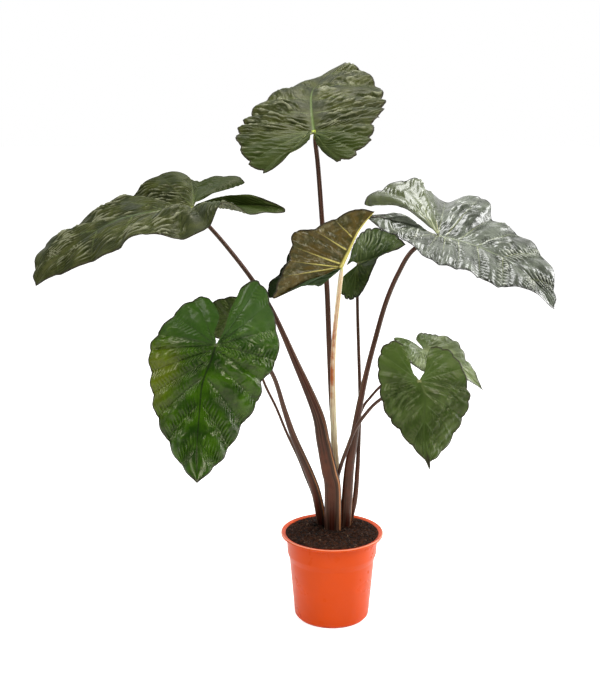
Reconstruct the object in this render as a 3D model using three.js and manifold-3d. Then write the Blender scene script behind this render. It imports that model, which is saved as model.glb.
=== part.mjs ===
// A potted alocasia: nine leaves on clasping petioles, standing in soil in a plastic nursery pot.
// Millimetres, +Z up, +X to the right and +Y to the back. The origin is the middle of the pot's flat foot.
import * as THREE from "three";
import { mergeVertices } from "three/addons/utils/BufferGeometryUtils.js";
import Module from "manifold-3d";

const wasm = await Module();
wasm.setup();

const CLEARANCE = 0.3; // between pieces that touch on the real plant

const POT = {
  footRadius: 72,
  cornerRadius: 77,
  cornerHeight: 6,
  bodyTopRadius: 87.5,
  bodyTopHeight: 126,
  collarFootRadius: 92,
  collarFootHeight: 139,
  collarRadius: 93.5,
  height: 182,
  wall: 2,
  rimRadius: 105,
  rimThickness: 5,
  rimWidth: 7,
  rimEase: 1.7, // how far the rim's corners are taken off
  floor: 2.6,
  sides: 40,
};
const DRAIN = { count: 8, radius: 5, ringRadius: 54, sides: 10 };

const SOIL = {
  footRadius: 71,
  edgeHeight: 180,
  mound: 3, // how far the middle stands over the edge
  clod: 1.6, // height of the clods
  clodTurns: [3, 5], // how often the clods' two waves go round
  clodSweeps: [7, -9], // how far each wave turns between the middle and the edge
  rings: [1, 0.86, 0.68, 0.48, 0.25],
};
const STEM_DEPTH = 48; // how far a petiole stands in its hole
const STEM_FOOT_HEIGHT = SOIL.edgeHeight + SOIL.mound - STEM_DEPTH;

// A blade is laid out in rows, each from the midrib out to the edge, with a lateral vein on every other row.
const BLADE = {
  thickness: 1.2,
  lobeRows: 8, // rows that fan out from the petiole's end into the basal lobe
  flankRows: 12, // rows that leave the midrib between the petiole and the apex
  columns: [0, 0.07, 0.34, 0.68, 1], // shares of the way from the midrib to the edge
  veinLag: 1.6, // how far the laterals sweep forwards
  ribDepth: 3, // how far the midrib stands out below the blade at the petiole
  narrow: 60, // half blades narrower than this have less relief
  halfPhase: 2, // how far the edge's waves on the left half run ahead of those on the right
};

const PETIOLE = {
  sides: 10,
  steps: 16,
  sheathStart: 0.12, // share of the length where the sheath begins to narrow
  sheathFlatness: 0.34,
  stalkFlatness: 0.06,
  groove: 0.34, // share of the sheath's depth taken by its inner channel
  droop: 0.5, // how far a petiole's outer side also looks down
};

const COLOURS = {
  pot: 0xe8592a,
  soil: 0x2c1b12,
  maroonStalk: 0x4a2a22,
  yellowStalk: 0xd8b866,
  greyGreen: 0x56684a,
  glossGreen: 0x2f5a1c,
  paleGreen: 0x6f8a52,
  silverGreen: 0x8f9c84,
  darkGreen: 0x2e4522,
  bronze: 0x6d6440,
};

// Each leaf's petiole has a route from the soil up to the blade, given by the middle of its section, with its width
// at the soil, above the sheath and at the blade, the share of its length that the sheath takes, the way its outer
// side faces, and how far its end is moved on to seat it on the blade. The blade is given by offsets from the
// petiole's end: its midrib out to the apex, and the edge of each half, first round the basal lobe from the cleft
// and then along the flank. Left and right are the leaf's own, seen from above with the apex ahead.
const LEAVES = {
  top: {
    route: [[5, 58, 178], [10, 58, 250], [7, 56, 340], [-1, 54, 447], [-7, 54, 573], [-12, 54, 686],
      [-22, 50, 813], [-31, 40, 925], [-39, 30, 987]],
    widths: [17, 13, 9],
    sheath: 0.3,
    facing: [0, 1],
    seat: -0.2,
    midrib: [[-5, 70, 50], [0, 145, 85], [30, 210, 115], [70, 260, 145]],
    left: {
      lobe: [[-10, -3, 1], [-12, -20, -20], [-37, -45, -30], [-61, -70, -53], [-90, -90, -71],
        [-115, -85, -58], [-130, -70, -43], [-144, -45, -24], [-149, -15, -6]],
      flank: [[-141, 20, 17], [-130, 50, 35], [-101, 95, 60], [-52, 150, 85], [5, 215, 110]],
    },
    right: {
      lobe: [[7, -2, -5], [10, -15, -23], [18, -35, -37], [34, -55, -48], [48, -70, -54], [69, -75, -48],
        [92, -60, -24], [111, -35, 0], [114, -5, 17]],
      flank: [[129, 25, 28], [140, 60, 49], [143, 95, 71], [133, 145, 92], [105, 195, 122]],
    },
    relief: { arch: 8, pleat: 5, scallop: 4, ruffle: 5, turns: 2.5 },
    colour: COLOURS.greyGreen,
  },
  high_left: {
    route: [[2, 12, 178], [1, 8, 274], [-6, 5, 310], [-19, 0, 375], [-32, 0, 436], [-74, 0, 537], [-121, 4, 642],
      [-164, 8, 709], [-211, 12, 770], [-248, 12, 813], [-274, 10, 844]],
    widths: [36, 13, 8],
    sheath: 0.7,
    facing: [-0.2, -1],
    seat: 0.75,
    midrib: [[-65, -10, -5], [-140, -25, -20], [-205, -35, -55], [-265, -45, -100], [-300, -55, -145]],
    left: {
      lobe: [[16, -5, 10], [51, -30, 24], [87, -55, 31], [135, -80, 25], [180, -100, 5], [140, -120, 6],
        [110, -135, -1], [74, -150, 17], [42, -160, -20]],
      flank: [[-9, -158, -38], [-75, -150, -38], [-126, -135, -67], [-184, -115, -86], [-250, -85, -120]],
    },
    right: {
      lobe: [[7, 10, 10], [34, 40, 20], [68, 70, 30], [96, 95, 43], [70, 110, 51], [28, 120, 52],
        [-9, 120, 50], [-23, 120, 59], [-78, 120, 55]],
      flank: [[-134, 112, 18], [-182, 98, 12], [-248, 70, -49], [-298, 28, -79], [-315, -15, -114]],
    },
    relief: { arch: 6, pleat: 5, scallop: 4, ruffle: 6, turns: 3 },
    hump: { half: 1, row: 10.2, share: 0.45, height: 24, rows: 1.6, shares: 0.24 },
    colour: COLOURS.greyGreen,
  },
  high_right: {
    route: [[28, 27, 178], [31, 27, 239], [35, 26, 305], [42, 24, 359], [55, 20, 445], [67, 18, 508], [84, 14, 581],
      [104, 10, 657], [127, 8, 715], [155, 6, 762], [203, 0, 790]],
    widths: [25, 13, 9],
    sheath: 0.6,
    facing: [0.5, -1],
    seat: 1.05,
    midrib: [[45, -5, -10], [90, -15, -25], [140, -25, -50], [185, -40, -90], [220, -55, -135]],
    left: {
      lobe: [[-10, 8, 12], [-27, 30, 29], [-63, 65, 50], [-134, 110, 50], [-116, 120, 80], [-79, 130, 97],
        [-37, 135, 100], [-14, 135, 82], [30, 128, 65]],
      flank: [[99, 118, 68], [121, 100, 26], [173, 78, 2], [210, 35, -42], [226, -30, -99]],
    },
    right: {
      lobe: [[-14, 3, 8], [-42, 0, 29], [-73, 5, 45], [-111, 10, 40], [-145, 20, 35], [-114, -10, 19],
        [-89, -50, 14], [-69, -85, -6], [-41, -110, -27]],
      flank: [[-9, -120, -34], [21, -122, -50], [62, -120, -65], [107, -112, -78], [158, -90, -93]],
    },
    relief: { arch: 8, pleat: 6, scallop: 5, ruffle: 6, turns: 3.5 },
    colour: COLOURS.silverGreen,
  },
  front_left: {
    route: [[-19, 36, 178], [-31, 27, 249], [-44, 20, 293], [-61, 12, 337], [-81, 0, 390], [-97, -18, 445],
      [-119, -45, 523], [-153, -70, 575], [-187, -100, 598], [-221, -150, 605]],
    widths: [23, 11, 8],
    sheath: 0.68,
    facing: [-0.4, -1],
    seat: 0.35,
    midrib: [[-10, -10, -30], [-25, -20, -70], [-30, -36, -123], [-34, -58, -184], [-31, -95, -235]],
    left: {
      lobe: [[8, 8, 18], [16, 18, 42], [27, 32, 67], [46, 50, 100], [74, 68, 110], [94, 76, 85],
        [104, 75, 50], [113, 68, 7], [110, 50, -40]],
      flank: [[84, 33, -76], [76, 20, -114], [50, 5, -153], [25, -22, -191], [-1, -52, -218]],
    },
    right: {
      lobe: [[-4, 10, 17], [5, 16, 39], [4, 24, 56], [-15, 36, 81], [-37, 40, 80], [-64, 40, 65],
        [-96, 38, 35], [-118, 34, 8], [-129, 30, -16]],
      flank: [[-126, 22, -56], [-121, 12, -96], [-112, -3, -137], [-93, -24, -177], [-66, -56, -213]],
    },
    relief: { arch: 9, pleat: 4, scallop: 3, ruffle: 4, turns: 2 },
    colour: COLOURS.glossGreen,
  },
  back_left: {
    route: [[-21, 52, 178], [-38, 48, 244], [-54, 42, 287], [-70, 36, 330], [-93, 30, 383], [-115, 24, 440],
      [-139, 18, 494], [-158, 12, 561], [-173, 10, 618]],
    widths: [11, 7, 5],
    sheath: 0.4,
    facing: [-1, 0.6],
    seat: 0,
    midrib: [[-35, 10, 5], [-75, 15, 0], [-115, 20, -5]],
    left: {
      lobe: [[10, -5, -15], [30, -15, -40], [0, -10, -50]],
      flank: [[-35, 0, -40], [-70, 10, -30], [-95, 15, -20]],
    },
    right: {
      lobe: [[10, -5, 15], [30, -10, 40], [5, 0, 50]],
      flank: [[-30, 10, 50], [-65, 15, 40], [-95, 20, 20]],
    },
    relief: { arch: 4, pleat: 3, scallop: 2, ruffle: 3, turns: 2 },
    colour: COLOURS.darkGreen,
  },
  front_right: {
    route: [[16, 32, 178], [9, 20, 270], [17, 10, 317], [30, -2, 361], [45, -14, 405], [69, -30, 446],
      [91, -45, 473], [128, -72, 504], [160, -110, 527]],
    widths: [13, 10, 6],
    sheath: 0.35,
    facing: [0.6, -1],
    seat: 1.05,
    midrib: [[10, -10, -30], [10, -15, -70], [10, -25, -110], [20, -35, -165]],
    left: {
      lobe: [[7, 6, 11], [11, 12, 26], [15, 20, 46], [24, 27, 59], [42, 32, 58], [62, 35, 51],
        [78, 34, 33], [90, 30, 12], [96, 25, -20]],
      flank: [[100, 20, -43], [89, 12, -74], [73, 3, -104], [48, -10, -137], [22, -27, -152]],
    },
    right: {
      lobe: [[-9, 6, 9], [-15, 13, 28], [-21, 22, 49], [-31, 29, 65], [-50, 34, 70], [-67, 35, 58],
        [-75, 32, 38], [-77, 26, 13], [-74, 18, -10]],
      flank: [[-70, 10, -42], [-56, 2, -73], [-39, -7, -93], [-15, -18, -122], [10, -28, -148]],
    },
    relief: { arch: 6, pleat: 3, scallop: 2, ruffle: 3, turns: 2 },
    colour: COLOURS.darkGreen,
  },
  back_right: {
    route: [[24, 49, 178], [36, 47, 276], [41, 45, 331], [47, 42, 386], [63, 38, 435], [77, 36, 456],
      [101, 36, 483], [147, 38, 520], [185, 40, 555]],
    widths: [10, 7, 5],
    sheath: 0.35,
    facing: [0.6, 1],
    seat: 1.3,
    midrib: [[30, 0, -10], [70, -5, -30], [100, -10, -60], [120, -15, -80]],
    left: {
      lobe: [[-6, 5, 7], [-15, 15, 18], [-8, 25, 29], [12, 35, 28], [33, 44, 21]],
      flank: [[63, 42, 12], [81, 34, -1], [91, 20, -23], [102, 5, -38], [111, -7, -59]],
    },
    right: {
      lobe: [[-10, -5, 6], [-34, -17, 24], [-64, -30, 30], [-50, -42, 9], [-27, -55, -15]],
      flank: [[-6, -60, -30], [21, -57, -36], [49, -52, -40], [75, -42, -48], [100, -28, -63]],
    },
    relief: { arch: 4, pleat: 3, scallop: 2, ruffle: 3, turns: 2 },
    colour: COLOURS.paleGreen,
  },
  young: {
    route: [[0, 38, 178], [8, 36, 258], [5, 30, 347], [1, 20, 456], [1, 8, 562], [9, -8, 666], [14, -20, 732]],
    widths: [17, 12, 9],
    sheath: 0.75,
    facing: [0, -1],
    seat: 0,
    midrib: [[15, 10, 30], [35, 20, 70], [65, 30, 105]],
    left: {
      lobe: [[-4, 2, -7], [-23, 10, -24], [-41, 17, -39], [-60, 25, -31], [-88, 30, -39], [-116, 32, -54],
        [-139, 32, -66], [-143, 32, -40], [-124, 36, -21]],
      flank: [[-110, 38, 1], [-94, 42, 32], [-60, 42, 56], [-17, 40, 78], [25, 36, 98]],
    },
    right: {
      lobe: [[-8, -6, -2], [-30, -14, -12], [-53, -22, -18], [-76, -28, -26], [-103, -36, -41],
        [-130, -45, -54], [-124, -48, -30], [-116, -45, -7], [-103, -38, 17]],
      flank: [[-97, -28, 44], [-90, -18, 71], [-56, -8, 75], [-15, 4, 93], [30, 18, 111]],
    },
    relief: { arch: 3, pleat: 3, scallop: 2, ruffle: 2, turns: 2 },
    colour: COLOURS.bronze,
    stalkColour: COLOURS.yellowStalk,
  },
  small_back: {
    route: [[38, 50, 178], [49, 52, 230], [54, 56, 295], [56, 58, 342], [58, 60, 424], [57, 62, 481], [54, 66, 558],
      [51, 72, 652], [51, 70, 727]],
    widths: [13, 9, 6],
    sheath: 0.45,
    facing: [0.6, -1],
    seat: 1.1,
    midrib: [[30, 0, 10], [60, -5, 25], [95, -10, 40]],
    left: {
      lobe: [[-10, 4, 3], [-21, 8, -4], [-14, 12, 14], [-11, 18, 30], [1, 26, 51]],
      flank: [[13, 30, 62], [27, 28, 69], [47, 22, 69], [67, 12, 63], [83, 4, 52]],
    },
    right: {
      lobe: [[-9, -5, -7], [-32, -14, -27], [-37, -22, -50], [-21, -28, -69], [3, -31, -57]],
      flank: [[21, -30, -26], [36, -26, 7], [44, -22, 18], [63, -17, 27], [81, -12, 32]],
    },
    relief: { arch: 4, pleat: 3, scallop: 2, ruffle: 3, turns: 2 },
    colour: COLOURS.darkGreen,
  },
};

const point = ([x, y, z]) => new THREE.Vector3(x, y, z);

// A smooth curve through the given points, which come at even steps of its parameter.
const curveThrough = (points) => new THREE.CatmullRomCurve3(points, false, "catmullrom", 0.5);

function shapeOf(positions, triangles) {
  const shape = new THREE.BufferGeometry();
  shape.setAttribute("position", new THREE.Float32BufferAttribute(positions, 3));
  shape.setIndex(triangles);
  return shape;
}

function solidOf(shape) {
  const bare = shape.clone();
  bare.deleteAttribute("normal");
  bare.deleteAttribute("uv");
  const welded = mergeVertices(bare, 1e-4);
  return new wasm.Manifold(
    new wasm.Mesh({
      numProp: 3,
      vertProperties: welded.attributes.position.array,
      triVerts: new Uint32Array(welded.index.array),
    }),
  );
}

function geometryOf(solid) {
  const mesh = solid.getMesh();
  return shapeOf(Array.from(mesh.vertProperties), Array.from(mesh.triVerts));
}

function piece(name, geometry, colour, roughness) {
  geometry.computeVertexNormals();
  const mesh = new THREE.Mesh(geometry, new THREE.MeshStandardMaterial({ color: colour, roughness, metalness: 0 }));
  mesh.name = name;
  return mesh;
}

// The pot: a thin tapered wall with a collar, a turned-out rim, a flat floor and a ring of drain holes.

function potWall(inset) {
  return [
    [POT.cornerRadius - inset, POT.cornerHeight],
    [POT.bodyTopRadius - inset, POT.bodyTopHeight],
    [POT.collarFootRadius - inset, POT.collarFootHeight],
    [POT.collarRadius - inset, POT.height - 2 * POT.rimThickness],
  ];
}

// Where the slope inside the rim meets the wall, at the height of the rim's foot.
function rimSlopeFoot() {
  return POT.collarRadius - POT.wall + POT.rimEase;
}

function potProfile() {
  const rimFoot = POT.height - POT.rimThickness;
  const quarter = Math.PI / 4; // the foot's corner is a quarter round, given by its ends and its middle
  const outside = [
    [0, 0],
    [POT.footRadius, 0],
    [
      THREE.MathUtils.lerp(POT.footRadius, POT.cornerRadius, Math.sin(quarter)),
      POT.cornerHeight * (1 - Math.cos(quarter)),
    ],
    ...potWall(0),
    [POT.collarRadius + POT.rimEase, rimFoot],
    [POT.rimRadius - POT.rimEase, rimFoot],
    [POT.rimRadius, rimFoot + POT.rimEase],
    [POT.rimRadius, POT.height - POT.rimEase],
    [POT.rimRadius - POT.rimEase, POT.height],
  ];
  const inside = [
    [POT.rimRadius - POT.rimWidth, POT.height],
    [rimSlopeFoot(), rimFoot],
    ...potWall(POT.wall).reverse(),
    [POT.footRadius, POT.floor],
    [0, POT.floor],
  ];
  return [...outside, ...inside].map(([radius, height]) => new THREE.Vector2(radius, height));
}

function lathe(profile, sides) {
  const turned = new THREE.LatheGeometry(profile, sides);
  return turned.rotateX(Math.PI / 2);
}

function potSolid() {
  let pot = solidOf(lathe(potProfile(), POT.sides));
  for (let k = 0; k < DRAIN.count; k++) {
    const angle = (2 * Math.PI * k) / DRAIN.count;
    const drill = new THREE.CylinderGeometry(DRAIN.radius, DRAIN.radius, 4 * POT.floor, DRAIN.sides);
    drill.rotateX(Math.PI / 2);
    drill.translate(DRAIN.ringRadius * Math.cos(angle), DRAIN.ringRadius * Math.sin(angle), 0);
    pot = pot.subtract(solidOf(drill));
  }
  return pot;
}

// The petioles: a stalk that flattens into a channelled sheath towards the soil.

function sheathShare(along, leaf) {
  return 1 - THREE.MathUtils.smoothstep(along, PETIOLE.sheathStart, leaf.sheath);
}

function petioleGeometry(leaf, end, grow) {
  const [soilWidth, stalkWidth, topWidth] = leaf.widths;
  const [footX, footY] = leaf.route[0];
  const foot = new THREE.Vector3(footX, footY, STEM_FOOT_HEIGHT - grow);
  const curve = curveThrough([foot, ...leaf.route.slice(0, -1).map(point), end]);
  const outer = new THREE.Vector3(leaf.facing[0], leaf.facing[1], -PETIOLE.droop).normalize();
  const positions = [];
  for (let step = 0; step <= PETIOLE.steps; step++) {
    const along = step / PETIOLE.steps;
    const middle = curve.getPointAt(along);
    const forward = curve.getTangentAt(along);
    const out = outer.clone().addScaledVector(forward, -outer.dot(forward)).normalize();
    const across = forward.clone().cross(out);
    const sheath = sheathShare(along, leaf);
    const width = THREE.MathUtils.lerp(stalkWidth, topWidth, along) + (soilWidth - stalkWidth) * sheath;
    const flatness = THREE.MathUtils.lerp(PETIOLE.stalkFlatness, PETIOLE.sheathFlatness, sheath);
    const depth = width * (1 - flatness);
    for (let side = 0; side < PETIOLE.sides; side++) {
      const angle = (2 * Math.PI * side) / PETIOLE.sides;
      const inner = Math.max(0, -Math.cos(angle));
      const channel = PETIOLE.groove * depth * sheath * inner ** 3;
      const vertex = middle.clone();
      vertex.addScaledVector(out, (depth / 2 + grow) * Math.cos(angle) + channel);
      vertex.addScaledVector(across, (width / 2 + grow) * Math.sin(angle));
      positions.push(...vertex);
    }
  }
  const last = PETIOLE.steps * PETIOLE.sides;
  const bottom = positions.length / 3;
  positions.push(...curve.getPoint(0), ...curve.getPoint(1));
  const triangles = [];
  for (let side = 0; side < PETIOLE.sides; side++) {
    const next = (side + 1) % PETIOLE.sides;
    for (let step = 0; step < PETIOLE.steps; step++) {
      const low = step * PETIOLE.sides;
      const high = low + PETIOLE.sides;
      triangles.push(low + side, low + next, high + next, low + side, high + next, high + side);
    }
    triangles.push(bottom, next, side, bottom + 1, last + side, last + next);
  }
  return shapeOf(positions, triangles);
}

// The blades: one sheet of rows and columns, raised between its veins, waved at its edge, then given a thickness.

function bladeRows(leaf) {
  const end = point(leaf.route.at(-1));
  const from = (offset) => point(offset).add(end);
  const midrib = curveThrough([end, ...leaf.midrib.map(from)]);
  const rows = BLADE.lobeRows + BLADE.flankRows;
  const roots = [];
  for (let row = 0; row <= rows; row++) {
    const along = Math.max(0, row - BLADE.lobeRows) / BLADE.flankRows;
    roots.push(midrib.getPoint(along ** BLADE.veinLag));
  }
  const edges = [leaf.right, leaf.left].map(({ lobe, flank }) => {
    const edge = curveThrough([...lobe.map(from), ...flank.map(from), roots.at(-1)]);
    const lobeEnd = lobe.length - 1;
    const spans = lobe.length + flank.length;
    return roots.map((root, row) => {
      const flankShare = Math.max(0, row - BLADE.lobeRows) / BLADE.flankRows;
      const lobeShare = Math.min(1, row / BLADE.lobeRows);
      const place = edge.getPoint((lobeEnd * lobeShare + (spans - lobeEnd) * flankShare) / spans);
      const outward = place.clone().sub(root);
      const reach = Math.min(1, outward.length() / BLADE.narrow);
      const between = (row % 2) - 0.5;
      return place.addScaledVector(outward.normalize(), leaf.relief.scallop * between * reach);
    });
  });
  return { roots, edges, rows };
}

function bladeSheet(leaf) {
  const { roots, edges, rows } = bladeRows(leaf);
  const columns = BLADE.columns.length - 1;
  const places = roots.slice(BLADE.lobeRows);
  const lifts = places.map(() => 0);
  const apex = places.length - 1;
  const numbers = edges.map((edge, half) =>
    roots.map((root, row) =>
      BLADE.columns.map((share, column) => {
        if (row === rows) return apex;
        if (column === 0) return Math.max(0, row - BLADE.lobeRows);
        const { arch, pleat, ruffle, turns } = leaf.relief;
        const reach = Math.min(1, edge[row].distanceTo(root) / BLADE.narrow);
        const wave = Math.sin(2 * Math.PI * turns * (row / rows) + half * BLADE.halfPhase);
        const between = ((row % 2) - 0.5) * Math.sin((Math.PI * share) / 2);
        const raised = arch * 4 * share * (1 - share) + pleat * between + ruffle * share ** 2 * wave;
        lifts.push(reach * raised + humpAt(leaf, half, row, share));
        return places.push(root.clone().lerp(edge[row], share)) - 1;
      }),
    ),
  );
  const triangles = [];
  const face = (a, b, c) => {
    if (a !== b && b !== c && a !== c) triangles.push(a, b, c);
  };
  numbers.forEach((grid, half) => {
    for (let row = 0; row < rows; row++) {
      for (let column = 0; column < columns; column++) {
        const near = grid[row][column];
        const far = grid[row][column + 1];
        const nearNext = grid[row + 1][column];
        const farNext = grid[row + 1][column + 1];
        if (half === 0) {
          face(near, far, farNext);
          face(near, farNext, nearNext);
        } else {
          face(near, farNext, far);
          face(near, nearNext, farNext);
        }
      }
    }
  });
  const flat = sheetNormals(places, triangles);
  places.forEach((place, number) => place.addScaledVector(flat[number], lifts[number]));
  return { places, triangles, normals: sheetNormals(places, triangles), apex };
}

// A hump is one bulge on one half (1 is the left). It falls away by the square of the distance in rows and shares.
function humpAt({ hump }, half, row, share) {
  if (!hump || hump.half !== half) return 0;
  const away = ((row - hump.row) / hump.rows) ** 2 + ((share - hump.share) / hump.shares) ** 2;
  return hump.height * Math.exp(-away);
}

function sheetNormals(places, triangles) {
  const shape = shapeOf(places.flatMap((place) => [...place]), triangles);
  shape.computeVertexNormals();
  return places.map((_, number) => new THREE.Vector3().fromBufferAttribute(shape.attributes.normal, number));
}

function bladeGeometry({ places, triangles, normals, apex }) {
  const half = BLADE.thickness / 2;
  const upper = places.map((place, number) => place.clone().addScaledVector(normals[number], half));
  const lower = places.map((place, number) => {
    const rib = number < apex ? BLADE.ribDepth * (1 - number / apex) : 0;
    return place.clone().addScaledVector(normals[number], -half - rib);
  });
  const count = places.length;
  const all = [...triangles];
  const borders = new Set();
  for (let k = 0; k < triangles.length; k += 3) {
    const [a, b, c] = triangles.slice(k, k + 3);
    all.push(c + count, b + count, a + count);
    [[a, b], [b, c], [c, a]].forEach(([from, to]) => {
      if (!borders.delete(to + " " + from)) borders.add(from + " " + to);
    });
  }
  borders.forEach((border) => {
    const [from, to] = border.split(" ").map(Number);
    all.push(from, from + count, to + count, from, to + count, to);
  });
  return shapeOf([...upper, ...lower].flatMap((place) => [...place]), all);
}

// A petiole ends just under its blade's midrib, low enough for the whole of its slanted end to clear the blade.
function petioleEnd(leaf, { places, normals }) {
  const upwards = normals.reduce((sum, normal) => sum.add(normal), new THREE.Vector3()).normalize();
  const forward = places[0].clone().sub(point(leaf.route.at(-2))).normalize();
  const [, , topWidth] = leaf.widths;
  const slant = (topWidth / 2) * upwards.clone().cross(forward).length();
  const below = BLADE.thickness / 2 + BLADE.ribDepth + CLEARANCE + slant - leaf.seat;
  return places[0].clone().addScaledVector(upwards, -below);
}

// The soil: it fills the pot nearly to the rim, with a low uneven mound on top and a plain hole for each petiole.

function soilHeight(radiusShare, angle) {
  const mound = SOIL.mound * (1 - radiusShare ** 2);
  const waves = SOIL.clodTurns.map((turns, k) => Math.sin(turns * angle + SOIL.clodSweeps[k] * radiusShare));
  const between = 4 * radiusShare * (1 - radiusShare);
  return SOIL.edgeHeight + mound + SOIL.clod * waves[0] * waves[1] * between;
}

function soilSolid() {
  const wall = potWall(POT.wall + CLEARANCE);
  const rimFoot = POT.height - POT.rimThickness;
  const lipRadius = rimSlopeFoot() - CLEARANCE * Math.SQRT2;
  const lipTop = POT.rimRadius - POT.rimWidth - CLEARANCE * Math.SQRT2;
  const edgeRadius = THREE.MathUtils.mapLinear(SOIL.edgeHeight, rimFoot, POT.height, lipRadius, lipTop);
  const floor = POT.floor + CLEARANCE;
  const profile = [[0, floor], [SOIL.footRadius, floor], ...wall, [lipRadius, rimFoot]];
  [...SOIL.rings, 0].forEach((share) => profile.push([edgeRadius * share, SOIL.edgeHeight]));
  const turned = lathe(profile.map(([radius, height]) => new THREE.Vector2(radius, height)), POT.sides);
  const places = turned.attributes.position;
  for (let k = 0; k < places.count; k++) {
    const radius = Math.hypot(places.getX(k), places.getY(k));
    const angle = Math.atan2(places.getY(k), places.getX(k));
    if (places.getZ(k) === SOIL.edgeHeight) places.setZ(k, soilHeight(radius / edgeRadius, angle));
  }
  let soil = solidOf(turned);
  Object.values(LEAVES).forEach((leaf) => {
    soil = soil.subtract(solidOf(petioleGeometry(leaf, point(leaf.route.at(-1)), CLEARANCE)));
  });
  return soil;
}

const plant = new THREE.Group();
plant.add(piece("pot", geometryOf(potSolid()), COLOURS.pot, 0.4));
plant.add(piece("soil", geometryOf(soilSolid()), COLOURS.soil, 0.95));
Object.entries(LEAVES).forEach(([name, leaf]) => {
  const sheet = bladeSheet(leaf);
  const petiole = petioleGeometry(leaf, petioleEnd(leaf, sheet), 0);
  plant.add(piece("petiole_" + name, petiole, leaf.stalkColour ?? COLOURS.maroonStalk, 0.4));
  plant.add(piece("blade_" + name, bladeGeometry(sheet), leaf.colour, 0.35));
});

export default plant;
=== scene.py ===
"""A potted alocasia with nine quilted leaves on clasping petioles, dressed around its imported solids.

Tables are in millimetres and meshes in metres, with +Z up, +X to the right and +Y to the back.
"""

import math

import bpy
import numpy as np
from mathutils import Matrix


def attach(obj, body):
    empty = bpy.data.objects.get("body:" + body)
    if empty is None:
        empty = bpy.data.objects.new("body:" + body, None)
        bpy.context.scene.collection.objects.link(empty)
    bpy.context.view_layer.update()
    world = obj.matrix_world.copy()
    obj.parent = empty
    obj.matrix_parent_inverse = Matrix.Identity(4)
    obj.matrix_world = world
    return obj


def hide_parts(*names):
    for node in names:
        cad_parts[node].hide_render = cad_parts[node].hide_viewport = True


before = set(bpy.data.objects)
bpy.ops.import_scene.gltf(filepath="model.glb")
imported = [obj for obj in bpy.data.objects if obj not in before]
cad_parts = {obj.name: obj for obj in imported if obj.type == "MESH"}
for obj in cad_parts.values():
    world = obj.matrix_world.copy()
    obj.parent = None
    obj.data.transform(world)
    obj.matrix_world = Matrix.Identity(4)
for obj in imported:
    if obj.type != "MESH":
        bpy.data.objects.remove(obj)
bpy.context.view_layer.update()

bl_info = {
    "name": "Potted alocasia",
    "version": (1, 0, 0),
    "blender": (4, 5, 0),
    "location": "3D View > Sidebar > Alocasia",
    "description": "Builds a potted alocasia: pot, soil, petioles, blades and a plain stage",
    "category": "Object",
}

MM = 0.001
TURN = 2 * np.pi

# The camera stands as in the photograph. Its places and the lamps' are in metres.
CAMERA_PLACE = (-0.066, -2.100, 1.010)
CAMERA_PITCH = math.radians(12)  # how far it looks down
FOCAL_SHARE = 1079 / 700  # focal length over the picture's long side
FLOOR_REACH = 40.0  # from the middle of the floor to its sides
FLOOR_GLOW = 0.75  # what the camera alone sees of the floor's own light, as on a lit table
# How bright the air is in front of the plant and behind it, and the span over which that changes
AIR = {"To Min": 0.08, "To Max": 0.85, "From Min": -0.5, "From Max": 0.7}
# Each lamp's name, place, target, width and height, and power in watts
LAMPS = (
    ("key", (-1.9, -1.5, 2.6), (0, 0, 0.5), (1.0, 1.6), 50),
    ("fill", (1.7, -1.5, 2.4), (0, 0, 0.5), (0.8, 1.4), 55),
    ("top", (0.2, 0.5, 3.0), (0, 0, 0.8), (1.3, 1.3), 45),
    ("edge", (1.9, 0.7, 0.9), (0, 0, 0.4), (0.5, 1.6), 20),
)

POT = {
    "foot_radius": 72, "corner_radius": 77, "corner_height": 6,
    "body_top_radius": 87.5, "body_top_height": 126,
    "collar_foot_radius": 92, "collar_foot_height": 139, "collar_radius": 93.5,
    "height": 182, "wall": 2, "rim_radius": 105, "rim_thickness": 5, "rim_width": 7, "floor": 2.6,
    "bead_width": 2.4, "bead_height": 0.9, "bead_slope": 0.8, "under_rim": 1,
    "sides": 144, "round_steps": 5, "rounding": 1.6,
}
DRAIN = {"count": 8, "radius": 5, "ring_radius": 54, "sides": 24}

SOIL = {
    "foot_radius": 71, "edge_radius": 95.5, "edge_height": 180, "mound": 3, "floor": 2.9, "gap": 0.3,
    "clod": 1.6, "clod_turns": (3, 5), "clod_sweeps": (7, -9), "sides": 180, "rings": 64,
    "lumps": ((14, 1.3), (6, 0.9), (3, 0.5)),  # size and height of each kind of lump
    "level_edge": 0.06,  # share of the radius over which the lumps fade out at the pot's wall
    "strewn": 0.93,  # share of the soil's area on which loose bits lie
    "seed": 11, "lump_seed": 40,
}
CRUMBS = {"count": 620, "size": (1.0, 3.4), "thin": 0.35, "uneven": 0.45, "swell": 1.4}
FIBRES = {
    "count": 170, "length": (7, 22), "width": 0.35, "steps": 5,
    "inset": 0.9, "bend": 0.9, "rise": 1.6, "clear": 0.8,
}

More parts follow.
